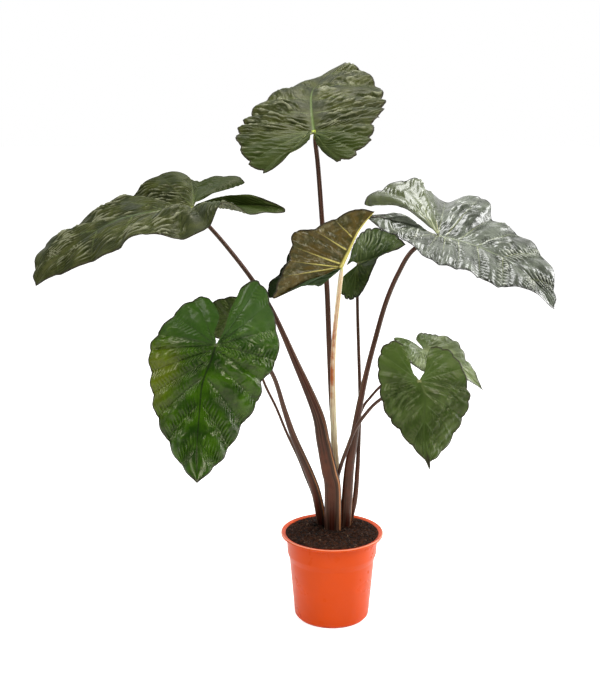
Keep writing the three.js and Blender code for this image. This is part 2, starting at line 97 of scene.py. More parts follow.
# Each blade is laid out in rows from the midrib out to the edge, with a lateral vein on every other row.
BLADE = {
    "lobe_rows": 8,  # rows that fan out from the petiole's end into the basal lobe
    "flank_rows": 12,  # rows that leave the midrib between the petiole and the apex
    "vein_lag": 1.6,  # how far the laterals sweep forwards
    "rib_depth": 3,  # how far the midrib stands out below the blade at the petiole
    "vein_depth": 0.5,  # how far the laterals stand out below it
    "vein_taper": 0.6,  # share of their width that the laterals lose on their way out
    "rib_taper": 0.7,  # share of its width that the midrib loses on its way to the apex
    "rib_fade": 4,  # rows over which the midrib's colour ends
    "least_slant": 0.25,  # sine of the least angle that a row is taken to make with the midrib
    "margin_width": 4.2,
    "shown_rows": 0.7,  # width of each of the laterals on a leaf that shows only some
    "joint_radius": 5,
    "joint_rows": 9,  # the joint's colour ends at this row
    "cleft_rows": 5,  # rows over which the bend of the cleft's margin fades
    "relief_span": (-1.5, 1.5),  # the relief's share of its usual height, as the colours take it
    "narrow": 60,  # half blades narrower than this have less relief
    "half_phase": 2,  # how far the edge's waves on the left half run ahead of those on the right
    "round_points": 5,  # a lobe given by more points than this gets the fine grid
    "fine_grid": (180, 72), "plain_grid": (120, 44),  # rows and columns of a half blade
}
# The edge's steps: the waves that make one, and the span of their height over the rows
STEPS = {"waves": 4, "least": 0.6, "more": 0.7, "turn": 1.9}

# Where a blade's relief and colours start and are full, by row, by share of the way out, by millimetres
# from the midrib or the margin, or by millimetres from one row or ripple to the next.
WHERE = {
    "flank_rows": (4, 10), "rough_rows": (5, 9), "combed_rows": (13, 16), "apex_rows": (15.5, 18.5),
    "lobe_colour_rows": (3, 10), "first_rows": (0.6, 1.8),
    "pleat_spread": (3, 13), "ripple_spread": (3, 8),
    "relief_off_midrib": (3, 22), "relief_off_margin": (0, 5),
    "comb_off_midrib": (2, 12), "comb_off_margin": (0, 4),
    "vein_off_midrib": (2, 12), "vein_off_margin": (2, 14), "vein_colour_off_midrib": (1, 10),
    "plump_slant": (0.06, 0.4),  # sine of the angle between a row and the edge
    "aged_shares": (0.2, 0.9), "aged_rows": (10.5, 3.6),  # the latter are its middle and width
}
# The uneven fields over a blade, each with its mean, its swing and its size in millimetres
UNEVEN = {
    "calm": (0.72, 0.5, 90), "broken": (0.8, 0.55, 30), "warp": (0, 1.15, 58), "fine_warp": (0, 0.32, 24),
    "dimples": (0, 1, 17), "comb_patches": (0, 1, 70),
}
RIPPLE = {"bend": 2.4, "second_height": 0.3, "second_turns": 2.3, "second_bend": 3.4, "lobe_sweep": 4}
COMB = {"height": 1.6, "lag": 0.9, "bend": 0.9, "beside": 6, "width": 8}
LOBE_PLEAT, LOBE_VEINS = 0.3, 0.35  # share of the pleats and of the quilting that the lobes keep
QUILT = {"flatness": 0.7, "level": 0.6}

PETIOLE = {
    "sides": 36, "steps": 140, "foot_height": 135,
    "sheath_start": 0.12, "sheath_flatness": 0.34, "stalk_flatness": 0.06,
    "groove": 0.34,  # share of the sheath's depth taken by its inner channel
    "droop": 0.5,  # how far a petiole's outer side also looks down
    "cap": 5,  # steps over which its upper end is rounded off
    "cap_end": 0.02,  # square of the share of its width that its last step keeps
    "under_blade": 1.5,  # how far below the blade's sheet it ends
    "flap_angle": math.radians(60), "flap_width": 0.2, "flap_height": 0.05,  # the sheath's edge
    "ribs": 7, "rib_height": 0.01,
    "flush_angle": -1.1, "flush_span": (-0.5, 0.6),  # where the flushed side looks, and its cosine's span
}

# Each leaf's petiole has a route from the soil up to the blade, with its width at the soil, above the
# sheath and at the blade, the share of its length that the sheath takes, and the way its outer side faces.
# The blade is given by offsets from the petiole's end: its midrib out to the apex, and the edge of each
# half, first round the basal lobe from the cleft and then along the flank. Left and right are the leaf's
# own, seen from above. Lists of halves, 0 for the right and 1 for the left, say which flank turns yellow
# and which lobes are green. Some leaves have a sweep of their own, a hump, or show only some of their
# laterals, which are given by their rows.
LEAVES = {
    "top": {
        "route": [[5, 58, 178], [10, 58, 250], [7, 56, 340], [-1, 54, 447], [-7, 54, 573], [-12, 54, 686],
            [-22, 50, 813], [-31, 40, 925], [-39, 30, 987]],
        "widths": [17, 13, 9], "sheath": 0.3, "facing": [0, 1],
        "midrib": [[-5, 70, 50], [0, 145, 85], [30, 210, 115], [70, 260, 145]],
        "left": {
            "lobe": [[-10, -3, 1], [-12, -20, -20], [-37, -45, -30], [-61, -70, -53], [-90, -90, -71],
                [-115, -85, -58], [-130, -70, -43], [-144, -45, -24], [-149, -15, -6]],
            "flank": [[-141, 20, 17], [-130, 50, 35], [-101, 95, 60], [-52, 150, 85], [5, 215, 110]],
        },
        "right": {
            "lobe": [[7, -2, -5], [10, -15, -23], [18, -35, -37], [34, -55, -48], [48, -70, -54],
                [69, -75, -48], [92, -60, -24], [111, -35, 0], [114, -5, 17]],
            "flank": [[129, 25, 28], [140, 60, 49], [143, 95, 71], [133, 145, 92], [105, 195, 122]],
        },
        "relief": {"arch": 8, "pleat": 5, "scallop": 4, "ruffle": 5, "turns": 2.5, "steps": 4.5},
        "colour": "grey_green",
    },
    "high_left": {
        "route": [[2, 12, 178], [1, 8, 274], [-6, 5, 310], [-19, 0, 375], [-32, 0, 436], [-74, 0, 537],
            [-121, 4, 642], [-164, 8, 709], [-211, 12, 770], [-248, 12, 813], [-274, 10, 844]],
        "widths": [36, 13, 8], "sheath": 0.7, "facing": [-0.2, -1],
        "midrib": [[-65, -10, -5], [-140, -25, -20], [-205, -35, -55], [-265, -45, -100], [-300, -55, -145]],
        "left": {
            "lobe": [[16, -5, 10], [51, -30, 24], [87, -55, 31], [135, -80, 25], [180, -100, 5],
                [140, -120, 6], [110, -135, -1], [74, -150, 17], [42, -160, -20]],
            "flank": [[-9, -158, -38], [-75, -150, -38], [-126, -135, -67], [-184, -115, -86],
                [-250, -85, -120]],
        },
        "right": {
            "lobe": [[7, 10, 10], [34, 40, 20], [68, 70, 30], [96, 95, 43], [70, 110, 51], [28, 120, 52],
                [-9, 120, 50], [-23, 120, 59], [-78, 120, 55]],
            "flank": [[-134, 112, 18], [-182, 98, 12], [-248, 70, -49], [-298, 28, -79], [-315, -15, -114]],
        },
        "relief": {"arch": 6, "pleat": 5, "scallop": 4, "ruffle": 6, "turns": 3, "steps": 3},
        "hump": {"half": 1, "row": 10.2, "share": 0.45, "height": 24, "rows": 1.6, "shares": 0.24},
        "colour": "grey_green", "sweep": 6.5,
    },
    "high_right": {
        "route": [[28, 27, 178], [31, 27, 239], [35, 26, 305], [42, 24, 359], [55, 20, 445], [67, 18, 508],
            [84, 14, 581], [104, 10, 657], [127, 8, 715], [155, 6, 762], [203, 0, 790]],
        "widths": [25, 13, 9], "sheath": 0.6, "facing": [0.5, -1],
        "midrib": [[45, -5, -10], [90, -15, -25], [140, -25, -50], [185, -40, -90], [220, -55, -135]],
        "left": {
            "lobe": [[-10, 8, 12], [-27, 30, 29], [-63, 65, 50], [-134, 110, 50], [-116, 120, 80],
                [-79, 130, 97], [-37, 135, 100], [-14, 135, 82], [30, 128, 65]],
            "flank": [[99, 118, 68], [121, 100, 26], [173, 78, 2], [210, 35, -42], [226, -30, -99]],
        },
        "right": {
            "lobe": [[-14, 3, 8], [-42, 0, 29], [-73, 5, 45], [-111, 10, 40], [-145, 20, 35],
                [-114, -10, 19], [-89, -50, 14], [-69, -85, -6], [-41, -110, -27]],
            "flank": [[-9, -120, -34], [21, -122, -50], [62, -120, -65], [107, -112, -78], [158, -90, -93]],
        },
        "relief": {"arch": 8, "pleat": 6, "scallop": 5, "ruffle": 6, "turns": 3.5, "steps": 3},
        "colour": "silver_green", "green_lobes": (1,),
    },
    "front_left": {
        "route": [[-19, 36, 178], [-31, 27, 249], [-44, 20, 293], [-61, 12, 337], [-81, 0, 390],
            [-97, -18, 445], [-119, -45, 523], [-153, -70, 575], [-187, -100, 598], [-221, -150, 605]],
        "widths": [23, 11, 8], "sheath": 0.68, "facing": [-0.4, -1],
        "midrib": [[-10, -10, -30], [-25, -20, -70], [-30, -36, -123], [-34, -58, -184], [-31, -95, -235]],
        "left": {
            "lobe": [[8, 8, 18], [16, 18, 42], [27, 32, 67], [46, 50, 100], [74, 68, 110], [94, 76, 85],
                [104, 75, 50], [113, 68, 7], [110, 50, -40]],
            "flank": [[84, 33, -76], [76, 20, -114], [50, 5, -153], [25, -22, -191], [-1, -52, -218]],
        },
        "right": {
            "lobe": [[-4, 10, 17], [5, 16, 39], [4, 24, 56], [-15, 36, 81], [-37, 40, 80], [-64, 40, 65],
                [-96, 38, 35], [-118, 34, 8], [-129, 30, -16]],
            "flank": [[-126, 22, -56], [-121, 12, -96], [-112, -3, -137], [-93, -24, -177],
                [-66, -56, -213]],
        },
        "relief": {"arch": 9, "pleat": 4, "scallop": 3, "ruffle": 4, "turns": 2, "steps": 1.5},
        "colour": "gloss_green", "yellow_halves": (0,),
    },
    "back_left": {
        "route": [[-21, 52, 178], [-38, 48, 244], [-54, 42, 287], [-70, 36, 330], [-93, 30, 383],
            [-115, 24, 440], [-139, 18, 494], [-158, 12, 561], [-173, 10, 618]],
        "widths": [11, 7, 5], "sheath": 0.4, "facing": [-1, 0.6],
        "midrib": [[-35, 10, 5], [-75, 15, 0], [-115, 20, -5]],
        "left": {
            "lobe": [[10, -5, -15], [30, -15, -40], [0, -10, -50]],
            "flank": [[-35, 0, -40], [-70, 10, -30], [-95, 15, -20]],
        },
        "right": {
            "lobe": [[10, -5, 15], [30, -10, 40], [5, 0, 50]],
            "flank": [[-30, 10, 50], [-65, 15, 40], [-95, 20, 20]],
        },
        "relief": {"arch": 4, "pleat": 3, "scallop": 2, "ruffle": 3, "turns": 2, "steps": 1},
        "colour": "dark_green",
    },
    "front_right": {
        "route": [[16, 32, 178], [9, 20, 270], [17, 10, 317], [30, -2, 361], [45, -14, 405], [69, -30, 446],
            [91, -45, 473], [128, -72, 504], [160, -110, 527]],
        "widths": [13, 10, 6], "sheath": 0.35, "facing": [0.6, -1],
        "midrib": [[10, -10, -30], [10, -15, -70], [10, -25, -110], [20, -35, -165]],
        "left": {
            "lobe": [[7, 6, 11], [11, 12, 26], [15, 20, 46], [24, 27, 59], [42, 32, 58], [62, 35, 51],
                [78, 34, 33], [90, 30, 12], [96, 25, -20]],
            "flank": [[100, 20, -43], [89, 12, -74], [73, 3, -104], [48, -10, -137], [22, -27, -152]],
        },
        "right": {
            "lobe": [[-9, 6, 9], [-15, 13, 28], [-21, 22, 49], [-31, 29, 65], [-50, 34, 70], [-67, 35, 58],
                [-75, 32, 38], [-77, 26, 13], [-74, 18, -10]],
            "flank": [[-70, 10, -42], [-56, 2, -73], [-39, -7, -93], [-15, -18, -122], [10, -28, -148]],
        },
        "relief": {"arch": 6, "pleat": 3, "scallop": 2, "ruffle": 3, "turns": 2, "steps": 1.5},
        "colour": "dark_green",
    },
    "back_right": {
        "route": [[24, 49, 178], [36, 47, 276], [41, 45, 331], [47, 42, 386], [63, 38, 435], [77, 36, 456],
            [101, 36, 483], [147, 38, 520], [185, 40, 555]],
        "widths": [10, 7, 5], "sheath": 0.35, "facing": [0.6, 1],
        "midrib": [[30, 0, -10], [70, -5, -30], [100, -10, -60], [120, -15, -80]],
        "left": {
            "lobe": [[-6, 5, 7], [-15, 15, 18], [-8, 25, 29], [12, 35, 28], [33, 44, 21]],
            "flank": [[63, 42, 12], [81, 34, -1], [91, 20, -23], [102, 5, -38], [111, -7, -59]],
        },
        "right": {
            "lobe": [[-10, -5, 6], [-34, -17, 24], [-64, -30, 30], [-50, -42, 9], [-27, -55, -15]],
            "flank": [[-6, -60, -30], [21, -57, -36], [49, -52, -40], [75, -42, -48], [100, -28, -63]],
        },
        "relief": {"arch": 4, "pleat": 3, "scallop": 2, "ruffle": 3, "turns": 2, "steps": 1},
        "colour": "pale_green",
    },
    "young": {
        "route": [[0, 38, 178], [8, 36, 258], [5, 30, 347], [1, 20, 456], [1, 8, 562], [9, -8, 666],
            [14, -20, 732]],
        "widths": [17, 12, 9], "sheath": 0.75, "facing": [0, -1],
        "midrib": [[15, 10, 30], [35, 20, 70], [65, 30, 105]],
        "left": {
            "lobe": [[-4, 2, -7], [-23, 10, -24], [-41, 17, -39], [-60, 25, -31], [-88, 30, -39],
                [-116, 32, -54], [-139, 32, -66], [-143, 32, -40], [-124, 36, -21]],
            "flank": [[-110, 38, 1], [-94, 42, 32], [-60, 42, 56], [-17, 40, 78], [25, 36, 98]],
        },
        "right": {
            "lobe": [[-8, -6, -2], [-30, -14, -12], [-53, -22, -18], [-76, -28, -26], [-103, -36, -41],
                [-130, -45, -54], [-124, -48, -30], [-116, -45, -7], [-103, -38, 17]],
            "flank": [[-97, -28, 44], [-90, -18, 71], [-56, -8, 75], [-15, 4, 93], [30, 18, 111]],
        },
        "relief": {"arch": 3, "pleat": 3, "scallop": 2, "ruffle": 2, "turns": 2, "steps": 1.5},
        "colour": "bronze", "veins": (6, 8, 10, 14, 16), "stalk": "petiole_yellow",
    },
    "small_back": {
        "route": [[38, 50, 178], [49, 52, 230], [54, 56, 295], [56, 58, 342], [58, 60, 424], [57, 62, 481],
            [54, 66, 558], [51, 72, 652], [51, 70, 727]],
        "widths": [13, 9, 6], "sheath": 0.45, "facing": [0.6, -1],
        "midrib": [[30, 0, 10], [60, -5, 25], [95, -10, 40]],
        "left": {
            "lobe": [[-10, 4, 3], [-21, 8, -4], [-14, 12, 14], [-11, 18, 30], [1, 26, 51]],
            "flank": [[13, 30, 62], [27, 28, 69], [47, 22, 69], [67, 12, 63], [83, 4, 52]],
        },
        "right": {
            "lobe": [[-9, -5, -7], [-32, -14, -27], [-37, -22, -50], [-21, -28, -69], [3, -31, -57]],
            "flank": [[21, -30, -26], [36, -26, 7], [44, -22, 18], [63, -17, 27], [81, -12, 32]],
        },
        "relief": {"arch": 4, "pleat": 3, "scallop": 2, "ruffle": 3, "turns": 2, "steps": 2},
        "colour": "soft_green",
    },
}

# How each leaf's surface is finished. Heights, widths and steps are in millimetres. A ripple runs along the
# laterals, and a comb is a row of short ridges across them. Sweep is how many rows a ripple runs forwards
# on its way out, sparse is how rare the patches of combs are, and tint is the largest share of the painted
# highlight on the fine relief's crests and of the painted shade in its hollows. The crest colour is that
# painted highlight, and the dark colour is a darker green in patches and also that painted shade.
LEAF_FINISH = {
    "margin": "1d1116", "under": "3d2d22", "under_vein": "77744a", "joint": "8a8a5e", "rib_reach": 1.2,
    "roughness": 0.36, "specular": 0.3, "coat": 0.1, "ripple": 1.2, "ripple_turns": 2, "sweep": 1.5,
    "comb": 0.4, "comb_step": 8.0, "lateral": 0.4, "vein_width": 1.6, "rib_width": 3.0, "rough_lobes": 0.6,
    "dimple": 0.9, "bloom": "62604a", "tint": 0.9, "gleam": "fff2b8", "dull_lobes": 0.1, "sparse": 0.3,
    "aged": "6a7410",
}
FINISHES = {
    "grey_green": {
        **LEAF_FINISH, "upper": "3a4019", "dark_and_hollow_shade": "20280f", "crest_highlight": "76785f", "vein": "5f6b3c",
        "rib": "4c6229", "margin": "241f18", "under": "5a5f3e", "under_vein": "8f9260", "joint": "a9b83a",
        "rib_reach": 0.85, "roughness": 0.44, "specular": 0.2, "coat": 0.0, "ripple": 5.0,
        "ripple_turns": 2.6, "sweep": 2.5, "comb": 0.5, "comb_step": 9, "quilt": 1.4, "lateral": 0.3,
        "rib_width": 4.0, "rough_lobes": 0.5, "lobe": "29390f", "bloom": "7c7c5c", "dull_lobes": 0.05,
    },
    "silver_green": {
        **LEAF_FINISH, "upper": "646a5b", "dark_and_hollow_shade": "363b2e", "crest_highlight": "aaad9e", "vein": "a3a97c",
        "rib": "7d8566", "margin": "1d1c16", "under": "3a2b1e", "under_vein": "8a8a4c", "joint": "7d8566",
        "rib_reach": 1.0, "roughness": 0.24, "specular": 0.5, "coat": 0.5, "ripple": 2.8,
        "ripple_turns": 2.2, "comb": 5.0, "quilt": 3.4, "lateral": 1.4, "vein_width": 1.8,
        "rough_lobes": 1.2, "lobe": "5f6840", "dimple": 0.8, "bloom": "6a6a5a", "gleam": "ffffff",
        "dull_lobes": 0.08, "sparse": 1.1,
    },
    "gloss_green": {
        **LEAF_FINISH, "upper": "345506", "dark_and_hollow_shade": "183206", "crest_highlight": "4c6c18", "vein": "1a2c10",
        "rib": "161f10", "margin": "1c0f12", "under": "453326", "joint": "4f5a38", "roughness": 0.24,
        "coat": 0.12, "ripple_turns": 1.6, "sweep": 1.0, "comb": 2.0, "comb_step": 7.5, "quilt": 3.0,
        "lateral": -1.0, "vein_width": 2.6, "rough_lobes": 0.9, "lobe": "244a06", "dimple": 0.7, "tint": 0.4,
        "gleam": "fff6c8", "dull_lobes": 0.3, "sparse": 0.1,
    },
    "dark_green": {
        **LEAF_FINISH, "upper": "435624", "dark_and_hollow_shade": "283a10", "crest_highlight": "52603a", "vein": "55683c",
        "rib": "37481e", "roughness": 0.4, "ripple": 1.8, "comb": 0.8, "quilt": 1.6, "lateral": -0.3,
        "vein_width": 2.2, "lobe": "40561f", "tint": 0.4,
    },
    "soft_green": {
        **LEAF_FINISH, "upper": "5a6a3c", "dark_and_hollow_shade": "34481c", "crest_highlight": "9aa282", "vein": "7c8a58",
        "rib": "8c9a66", "coat": 0.3, "ripple": 4.2, "quilt": 1.0, "rough_lobes": 0.8, "lobe": "42581e",
        "tint": 0.6, "gleam": "fffbee",
    },
    "pale_green": {
        **LEAF_FINISH, "upper": "8c9a66", "dark_and_hollow_shade": "5c6c3c", "crest_highlight": "a8b48c", "vein": "8d9a68",
        "rib": "99a474", "margin": "26261a", "under": "453a2a", "under_vein": "88885a", "joint": "99a474",
        "roughness": 0.32, "specular": 0.5, "ripple": 2.2, "quilt": 2.4, "vein_width": 1.8, "lobe": "5a7038",
        "bloom": "6a6a5a", "tint": 0.6, "gleam": "fffbee", "dull_lobes": 0.0,
    },
    "bronze": {
        **LEAF_FINISH, "upper": "2c3f1c", "dark_and_hollow_shade": "1d2c14", "crest_highlight": "455a30", "vein": "40502f",
        "rib": "c9c072", "margin": "1d130d", "under": "524319", "under_vein": "cbbf66", "joint": "c9c45a",
        "specular": 0.25, "quilt": 1.8, "lateral": -0.8, "vein_width": 1.9, "rib_width": 5.5,
        "lobe": "2c4420", "dimple": 1.2, "bloom": "8a8462", "tint": 0.5, "gleam": "fffbdc",
        "dull_lobes": 0.0,
    },
}

# The layers of colour on a blade's upper side, each over those before it: the mesh's value that brings it
# in, where that value starts and is full, the layer's largest share (the finish's tint if None) and its
# colour.
UPPER_LAYERS = (
    ("lobe", 0, 1, 0.75, "lobe"),
    ("aged", 0, 1, 0.6, "aged"),
    # Painted highlight on the fine relief's crests and painted shade in its hollows, by the relief's height
    ("relief", 0.1, 0.6, None, "crest_highlight"),
    ("relief", -0.05, -0.7, None, "dark_and_hollow_shade"),
    ("lateral", 0.2, 1, 0.6, "vein"),
    ("rib", 0.25, 0.9, 0.85, "rib"),
    ("margin", 0.3, 0.9, 0.85, "margin"),
    ("joint", 0.3, 0.9, 0.9, "joint"),
)
SLOTS = {key: "leaf_" + key for key in FINISHES} | {"soft_green": "leaf_dark_green"}

# Each kind of stalk, named as its slot. The flush's reach is its start, its end and what it fades over.
STALKS = {
    "petiole_maroon": {
        "skin": "431d14", "streak": "6c5242", "dark": "140a07", "edge": "de955e",
        "flush": "66321e", "flush_reach": (0.05, 0.4, 0.2),
    },
    "petiole_yellow": {
        "skin": "f6ecc0", "streak": "f8f2d8", "dark": "c08a4c", "edge": "efdfa0",
        "flush": "a9541f", "flush_reach": (0.42, 0.95, 0.2),
    },
}
JOINT_LIME = "c6d24a"


def paint(code):
    """A colour given as six hexadecimal digits, as the linear numbers that a shader takes."""
    parts = [int(code[k:k + 2], 16) / 255 for k in (0, 2, 4)]
    return tuple(p / 12.92 if p <= 0.04045 else ((p + 0.055) / 1.055) ** 2.4 for p in parts)


def unit(vectors):
    """Each vector over its own length."""
    return vectors / np.maximum(np.linalg.norm(vectors, axis=-1, keepdims=True), 1e-12)


def eased(value, low, high):
    """0 below low and 1 above high, and 3t^2 - 2t^3 of the share t between them."""
    share = np.clip((value - low) / (high - low), 0, 1)
    return share * share * (3 - 2 * share)


def bump_at(distance, width):
    """A smooth hump of height 1 where the distance is 0: e to the minus its square over the width's."""
    return np.exp(-((distance / width) ** 2))


def rolling(places, size, seed):
    """A smooth uneven field of about -1 to 1: the sum of eight sines of the place over 2.8, each along its
    own seeded direction, with wavelengths from 0.7 to 1.5 times the size."""
    draw = np.random.default_rng(seed)
    directions = unit(draw.normal(size=(8, 3)))
    waves = TURN / (size * draw.uniform(0.7, 1.5, 8))
    phases = draw.uniform(0, TURN, 8)
    return np.sin(places @ (directions * waves[:, None]).T + phases).sum(-1) / 2.8


def uneven(places, field, seed):
    """One of the uneven fields: its mean and its swing times the rolling field of its size."""
    mean, swing, size = UNEVEN[field]
    return mean + swing * rolling(places, size, seed)


def crest(phase):
    """A wave with sharp crests and broad troughs, about -0.36 to 0.64: one less the size of half the phase's
    sine, brought to a mean of 0."""
    return 2 / np.pi - np.abs(np.sin(phase / 2))


def curve_through(points, at):
    """Places on a smooth curve through points that come at even steps of its parameter, 0 to 1. Each span
    is a cubic whose slope at a point is half the step between that point's neighbours."""
    points = np.asarray(points, float)
    padded = np.vstack([2 * points[0] - points[1], points, 2 * points[-1] - points[-2]])
    spans = len(points) - 1
    place = np.clip(np.asarray(at, float), 0, 1) * spans
    first = np.minimum(place.astype(int), spans - 1)
    t = (place - first)[..., None]
    before, start, end, after = (padded[first + k] for k in range(4))
    cubic = (2 * start + (end - before) * t + (2 * before - 5 * start + 4 * end - after) * t ** 2
             + (3 * start - before - 3 * end + after) * t ** 3)
    return cubic / 2


def evenly_along(points, steps):
    """Places at even distances along the smooth curve through the points, and its direction at each."""
    fine = curve_through(points, np.linspace(0, 1, 1601))
    lengths = np.concatenate([[0], np.cumsum(np.linalg.norm(np.diff(fine, axis=0), axis=1))])
    wanted = np.linspace(0, lengths[-1], steps + 1)
    middle = np.stack([np.interp(wanted, lengths, fine[:, k]) for k in range(3)], axis=1)
    return middle, unit(np.gradient(middle, axis=0))


def vertex_normals(places, triangles):
    """Each vertex's normal: the sum of the cross products of its triangles' sides, brought to length 1."""
    corners = places[triangles]
    faces = np.cross(corners[:, 1] - corners[:, 0], corners[:, 2] - corners[:, 0])
    total = np.stack([
        sum(np.bincount(triangles[:, k], faces[:, axis], len(places)) for k in range(3)) for axis in range(3)
    ], axis=1)
    return unit(total)


def grid_triangles(numbers):
    """Two triangles for each cell of a grid of vertex numbers, but none that a shared vertex flattens."""
    near, far = numbers[:-1, :-1].ravel(), numbers[:-1, 1:].ravel()
    near_next, far_next = numbers[1:, :-1].ravel(), numbers[1:, 1:].ravel()
    both = np.concatenate([np.stack([near, far, far_next], 1), np.stack([near, far_next, near_next], 1)])
    distinct = (both[:, 0] != both[:, 1]) & (both[:, 1] != both[:, 2]) & (both[:, 0] != both[:, 2])
    return both[distinct]


def open_edges(triangles, count):
    """The edges that only one triangle has, each in that triangle's own direction."""
    edges = np.concatenate([triangles[:, [0, 1]], triangles[:, [1, 2]], triangles[:, [2, 0]]])
    forth = edges[:, 0] * count + edges[:, 1]
    back = edges[:, 1] * count + edges[:, 0]
    return edges[~np.isin(forth, back)]


def mesh_of(name, places, faces):
    """A new mesh from places in metres and faces given as numbers of places."""
    mesh = bpy.data.meshes.new(name)
    mesh.from_pydata(places, [], faces)
    return mesh


def in_scene(name, data):
    """A new object in the scene that shows the mesh, lamp or camera."""
    made = bpy.data.objects.new(name, data)
    bpy.context.scene.collection.objects.link(made)
    return made


def add_piece(name, places, triangles, material, replaced, slot, values=None, uv=None):
    """A smooth mesh object at the origin from places in millimetres, with a float attribute for each of the
    values and a UV map for the uv, both given at the vertices."""
    mesh = mesh_of(name, places * MM, triangles)
    for key, numbers in (values or {}).items():
        mesh.attributes.new(key, "FLOAT", "POINT").data.foreach_set("value", numbers.astype(np.float32))
    if uv is not None:
        layer = mesh.uv_layers.new(name="surface")
        layer.uv.foreach_set("vector", uv[triangles.ravel()].astype(np.float32).ravel())
    mesh.shade_smooth()
    mesh.materials.append(material)
    piece = in_scene(name, mesh)
    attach(piece, "root")
    if replaced:
        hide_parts(replaced)
    return piece


class Wires:
    """Nodes that are being wired. A method that makes a value or a colour gives the last node's output."""

    def __init__(self, tree):
        self.tree = tree

    def node(self, kind, inputs=(), **settings):
        made = self.tree.nodes.new(kind)
        for key, value in settings.items():
            setattr(made, key, value)
        for key, value in dict(inputs).items():
            self.feed(made.inputs[key], value)
        return made

    def feed(self, socket, value):
        """Links a socket to an output, or sets it to a colour code or another constant."""
        if isinstance(value, bpy.types.NodeSocket):
            self.tree.links.new(value, socket)
        elif isinstance(value, str):
            socket.default_value = (*paint(value), 1)
        else:
            socket.default_value = value

    def joined(self, first, second, operation):
        return self.node("ShaderNodeMath", {0: first, 1: second}, operation=operation).outputs[0]


class Finish(Wires):
    """The wires of a new material."""

    def __init__(self, name):
        self.material = bpy.data.materials.new(name)
        self.material.use_nodes = True
        super().__init__(self.material.node_tree)
        self.shader = self.tree.nodes["Principled BSDF"]
        self.object_place = self.node("ShaderNodeTexCoord").outputs["Object"]

    def shade(self, **inputs):
        names = {
            "base_color": "Base Color", "roughness": "Roughness", "specular_ior_level": "Specular IOR Level",
            "specular_tint": "Specular Tint", "coat_weight": "Coat Weight",
            "coat_roughness": "Coat Roughness",
        }
        for key, value in inputs.items():
            self.feed(self.shader.inputs[names[key]], value)

    def value(self, name):
        """One of the mesh's own values."""
        return self.node("ShaderNodeAttribute", attribute_name=name).outputs["Fac"]

    def noise_over(self, place, scale, detail, roughness, distortion=0.0):
        inputs = {"Vector": place, "Scale": scale, "Detail": detail, "Roughness": roughness,
                  "Distortion": distortion}
        return self.node("ShaderNodeTexNoise", inputs).outputs["Fac"]

    def noise(self, size, detail=3.0, roughness=0.55):
        """A noise of the given size in millimetres over the object's own place."""
        return self.noise_over(self.object_place, 1 / (size * MM), detail, roughness)

    def streaks(self, scale, detail, roughness, distortion=0.0):
        """A noise over the surface's own two ways, each stretched by its own scale."""
        place = self.node("ShaderNodeUVMap", uv_map="surface").outputs["UV"]
        stretched = self.node("ShaderNodeMapping", {"Vector": place, "Scale": (*scale, 1)}).outputs["Vector"]
        return self.noise_over(stretched, 1, detail, roughness, distortion)

    def ranged(self, value, low, high, least=0.0, most=1.0):
        """Least where the value is at or beyond low, most at or beyond high, and smooth in between."""
        inputs = {"Value": value, "From Min": low, "From Max": high, "To Min": least, "To Max": most}
        return self.node("ShaderNodeMapRange", inputs, interpolation_type="SMOOTHSTEP").outputs["Result"]

    def blend(self, share, first, second):
        made = self.node("ShaderNodeMix", data_type="RGBA")
        self.feed(made.inputs["Factor"], share)
        self.feed(made.inputs[6], first)
        self.feed(made.inputs[7], second)
        return made.outputs[2]

    def layer(self, ground, value, low, high, share, colour):
        """A colour over the ground, from nothing where the value is at low up to the share at high."""
        return self.blend(self.ranged(value, low, high, 0, share), ground, colour)

    def bump(self, height, strength, distance):
        inputs = {"Height": height, "Strength": strength, "Distance": distance * MM}
        normal = self.node("ShaderNodeBump", inputs).outputs["Normal"]
        self.feed(self.shader.inputs["Normal"], normal)


# Blades


def blade_rows(leaf, rows):
    """Where each row leaves the midrib, where it ends on the edge of the right and the left half, and how
    the cleft's margin bends away from a straight line.

    The midrib and the edges are smooth curves through the table's points. The first row follows the cleft's
    margin through a third of the lobe's points. Rows up to the lobe's share fan out from the petiole's end,
    and the rest leave the midrib at their share of it to the power of the veins' lag. The edge moves
    outwards by a cosine of the row, which makes its scallops, and by a sawtooth, which rises slowly and
    falls back at each lateral."""
    end = np.array(leaf["route"][-1], float)
    midrib = np.vstack([[0, 0, 0], leaf["midrib"]]) + end
    along = np.maximum(0, rows - BLADE["lobe_rows"]) / BLADE["flank_rows"]
    lobe_share = np.minimum(1, rows / BLADE["lobe_rows"])
    roots = curve_through(midrib, along ** BLADE["vein_lag"])
    relief = leaf["relief"]
    sawtooth = sum(np.sin(np.pi * k * rows) / k for k in range(1, STEPS["waves"] + 1))
    edges, clefts = [], []
    for half, outline in enumerate((leaf["right"], leaf["left"])):
        lobe = np.array(outline["lobe"], float) + end
        points = np.vstack([lobe, np.array(outline["flank"], float) + end, roots[-1]])
        taken = round(len(lobe) / 3)
        lobe_end = len(lobe) - 1
        spans = len(points) - 1
        place = (taken + (lobe_end - taken) * lobe_share + (spans - lobe_end) * along) / spans
        edge = curve_through(points, place)
        outward = edge - roots
        reach = np.minimum(1, np.linalg.norm(outward, axis=1, keepdims=True) / BLADE["narrow"])
        step = relief["steps"] * (STEPS["least"] + STEPS["more"] * np.sin(STEPS["turn"] * rows + half) ** 2)
        moved = -0.5 * relief["scallop"] * np.cos(np.pi * rows) - step * sawtooth / 2
        edges.append(edge + unit(outward) * moved[:, None] * reach * eased(rows, 0, 1)[:, None])
        margin = np.vstack([end, lobe[:taken + 2]])
        clefts.append((margin, (taken + 1) / (taken + 2)))
    return roots, edges, clefts


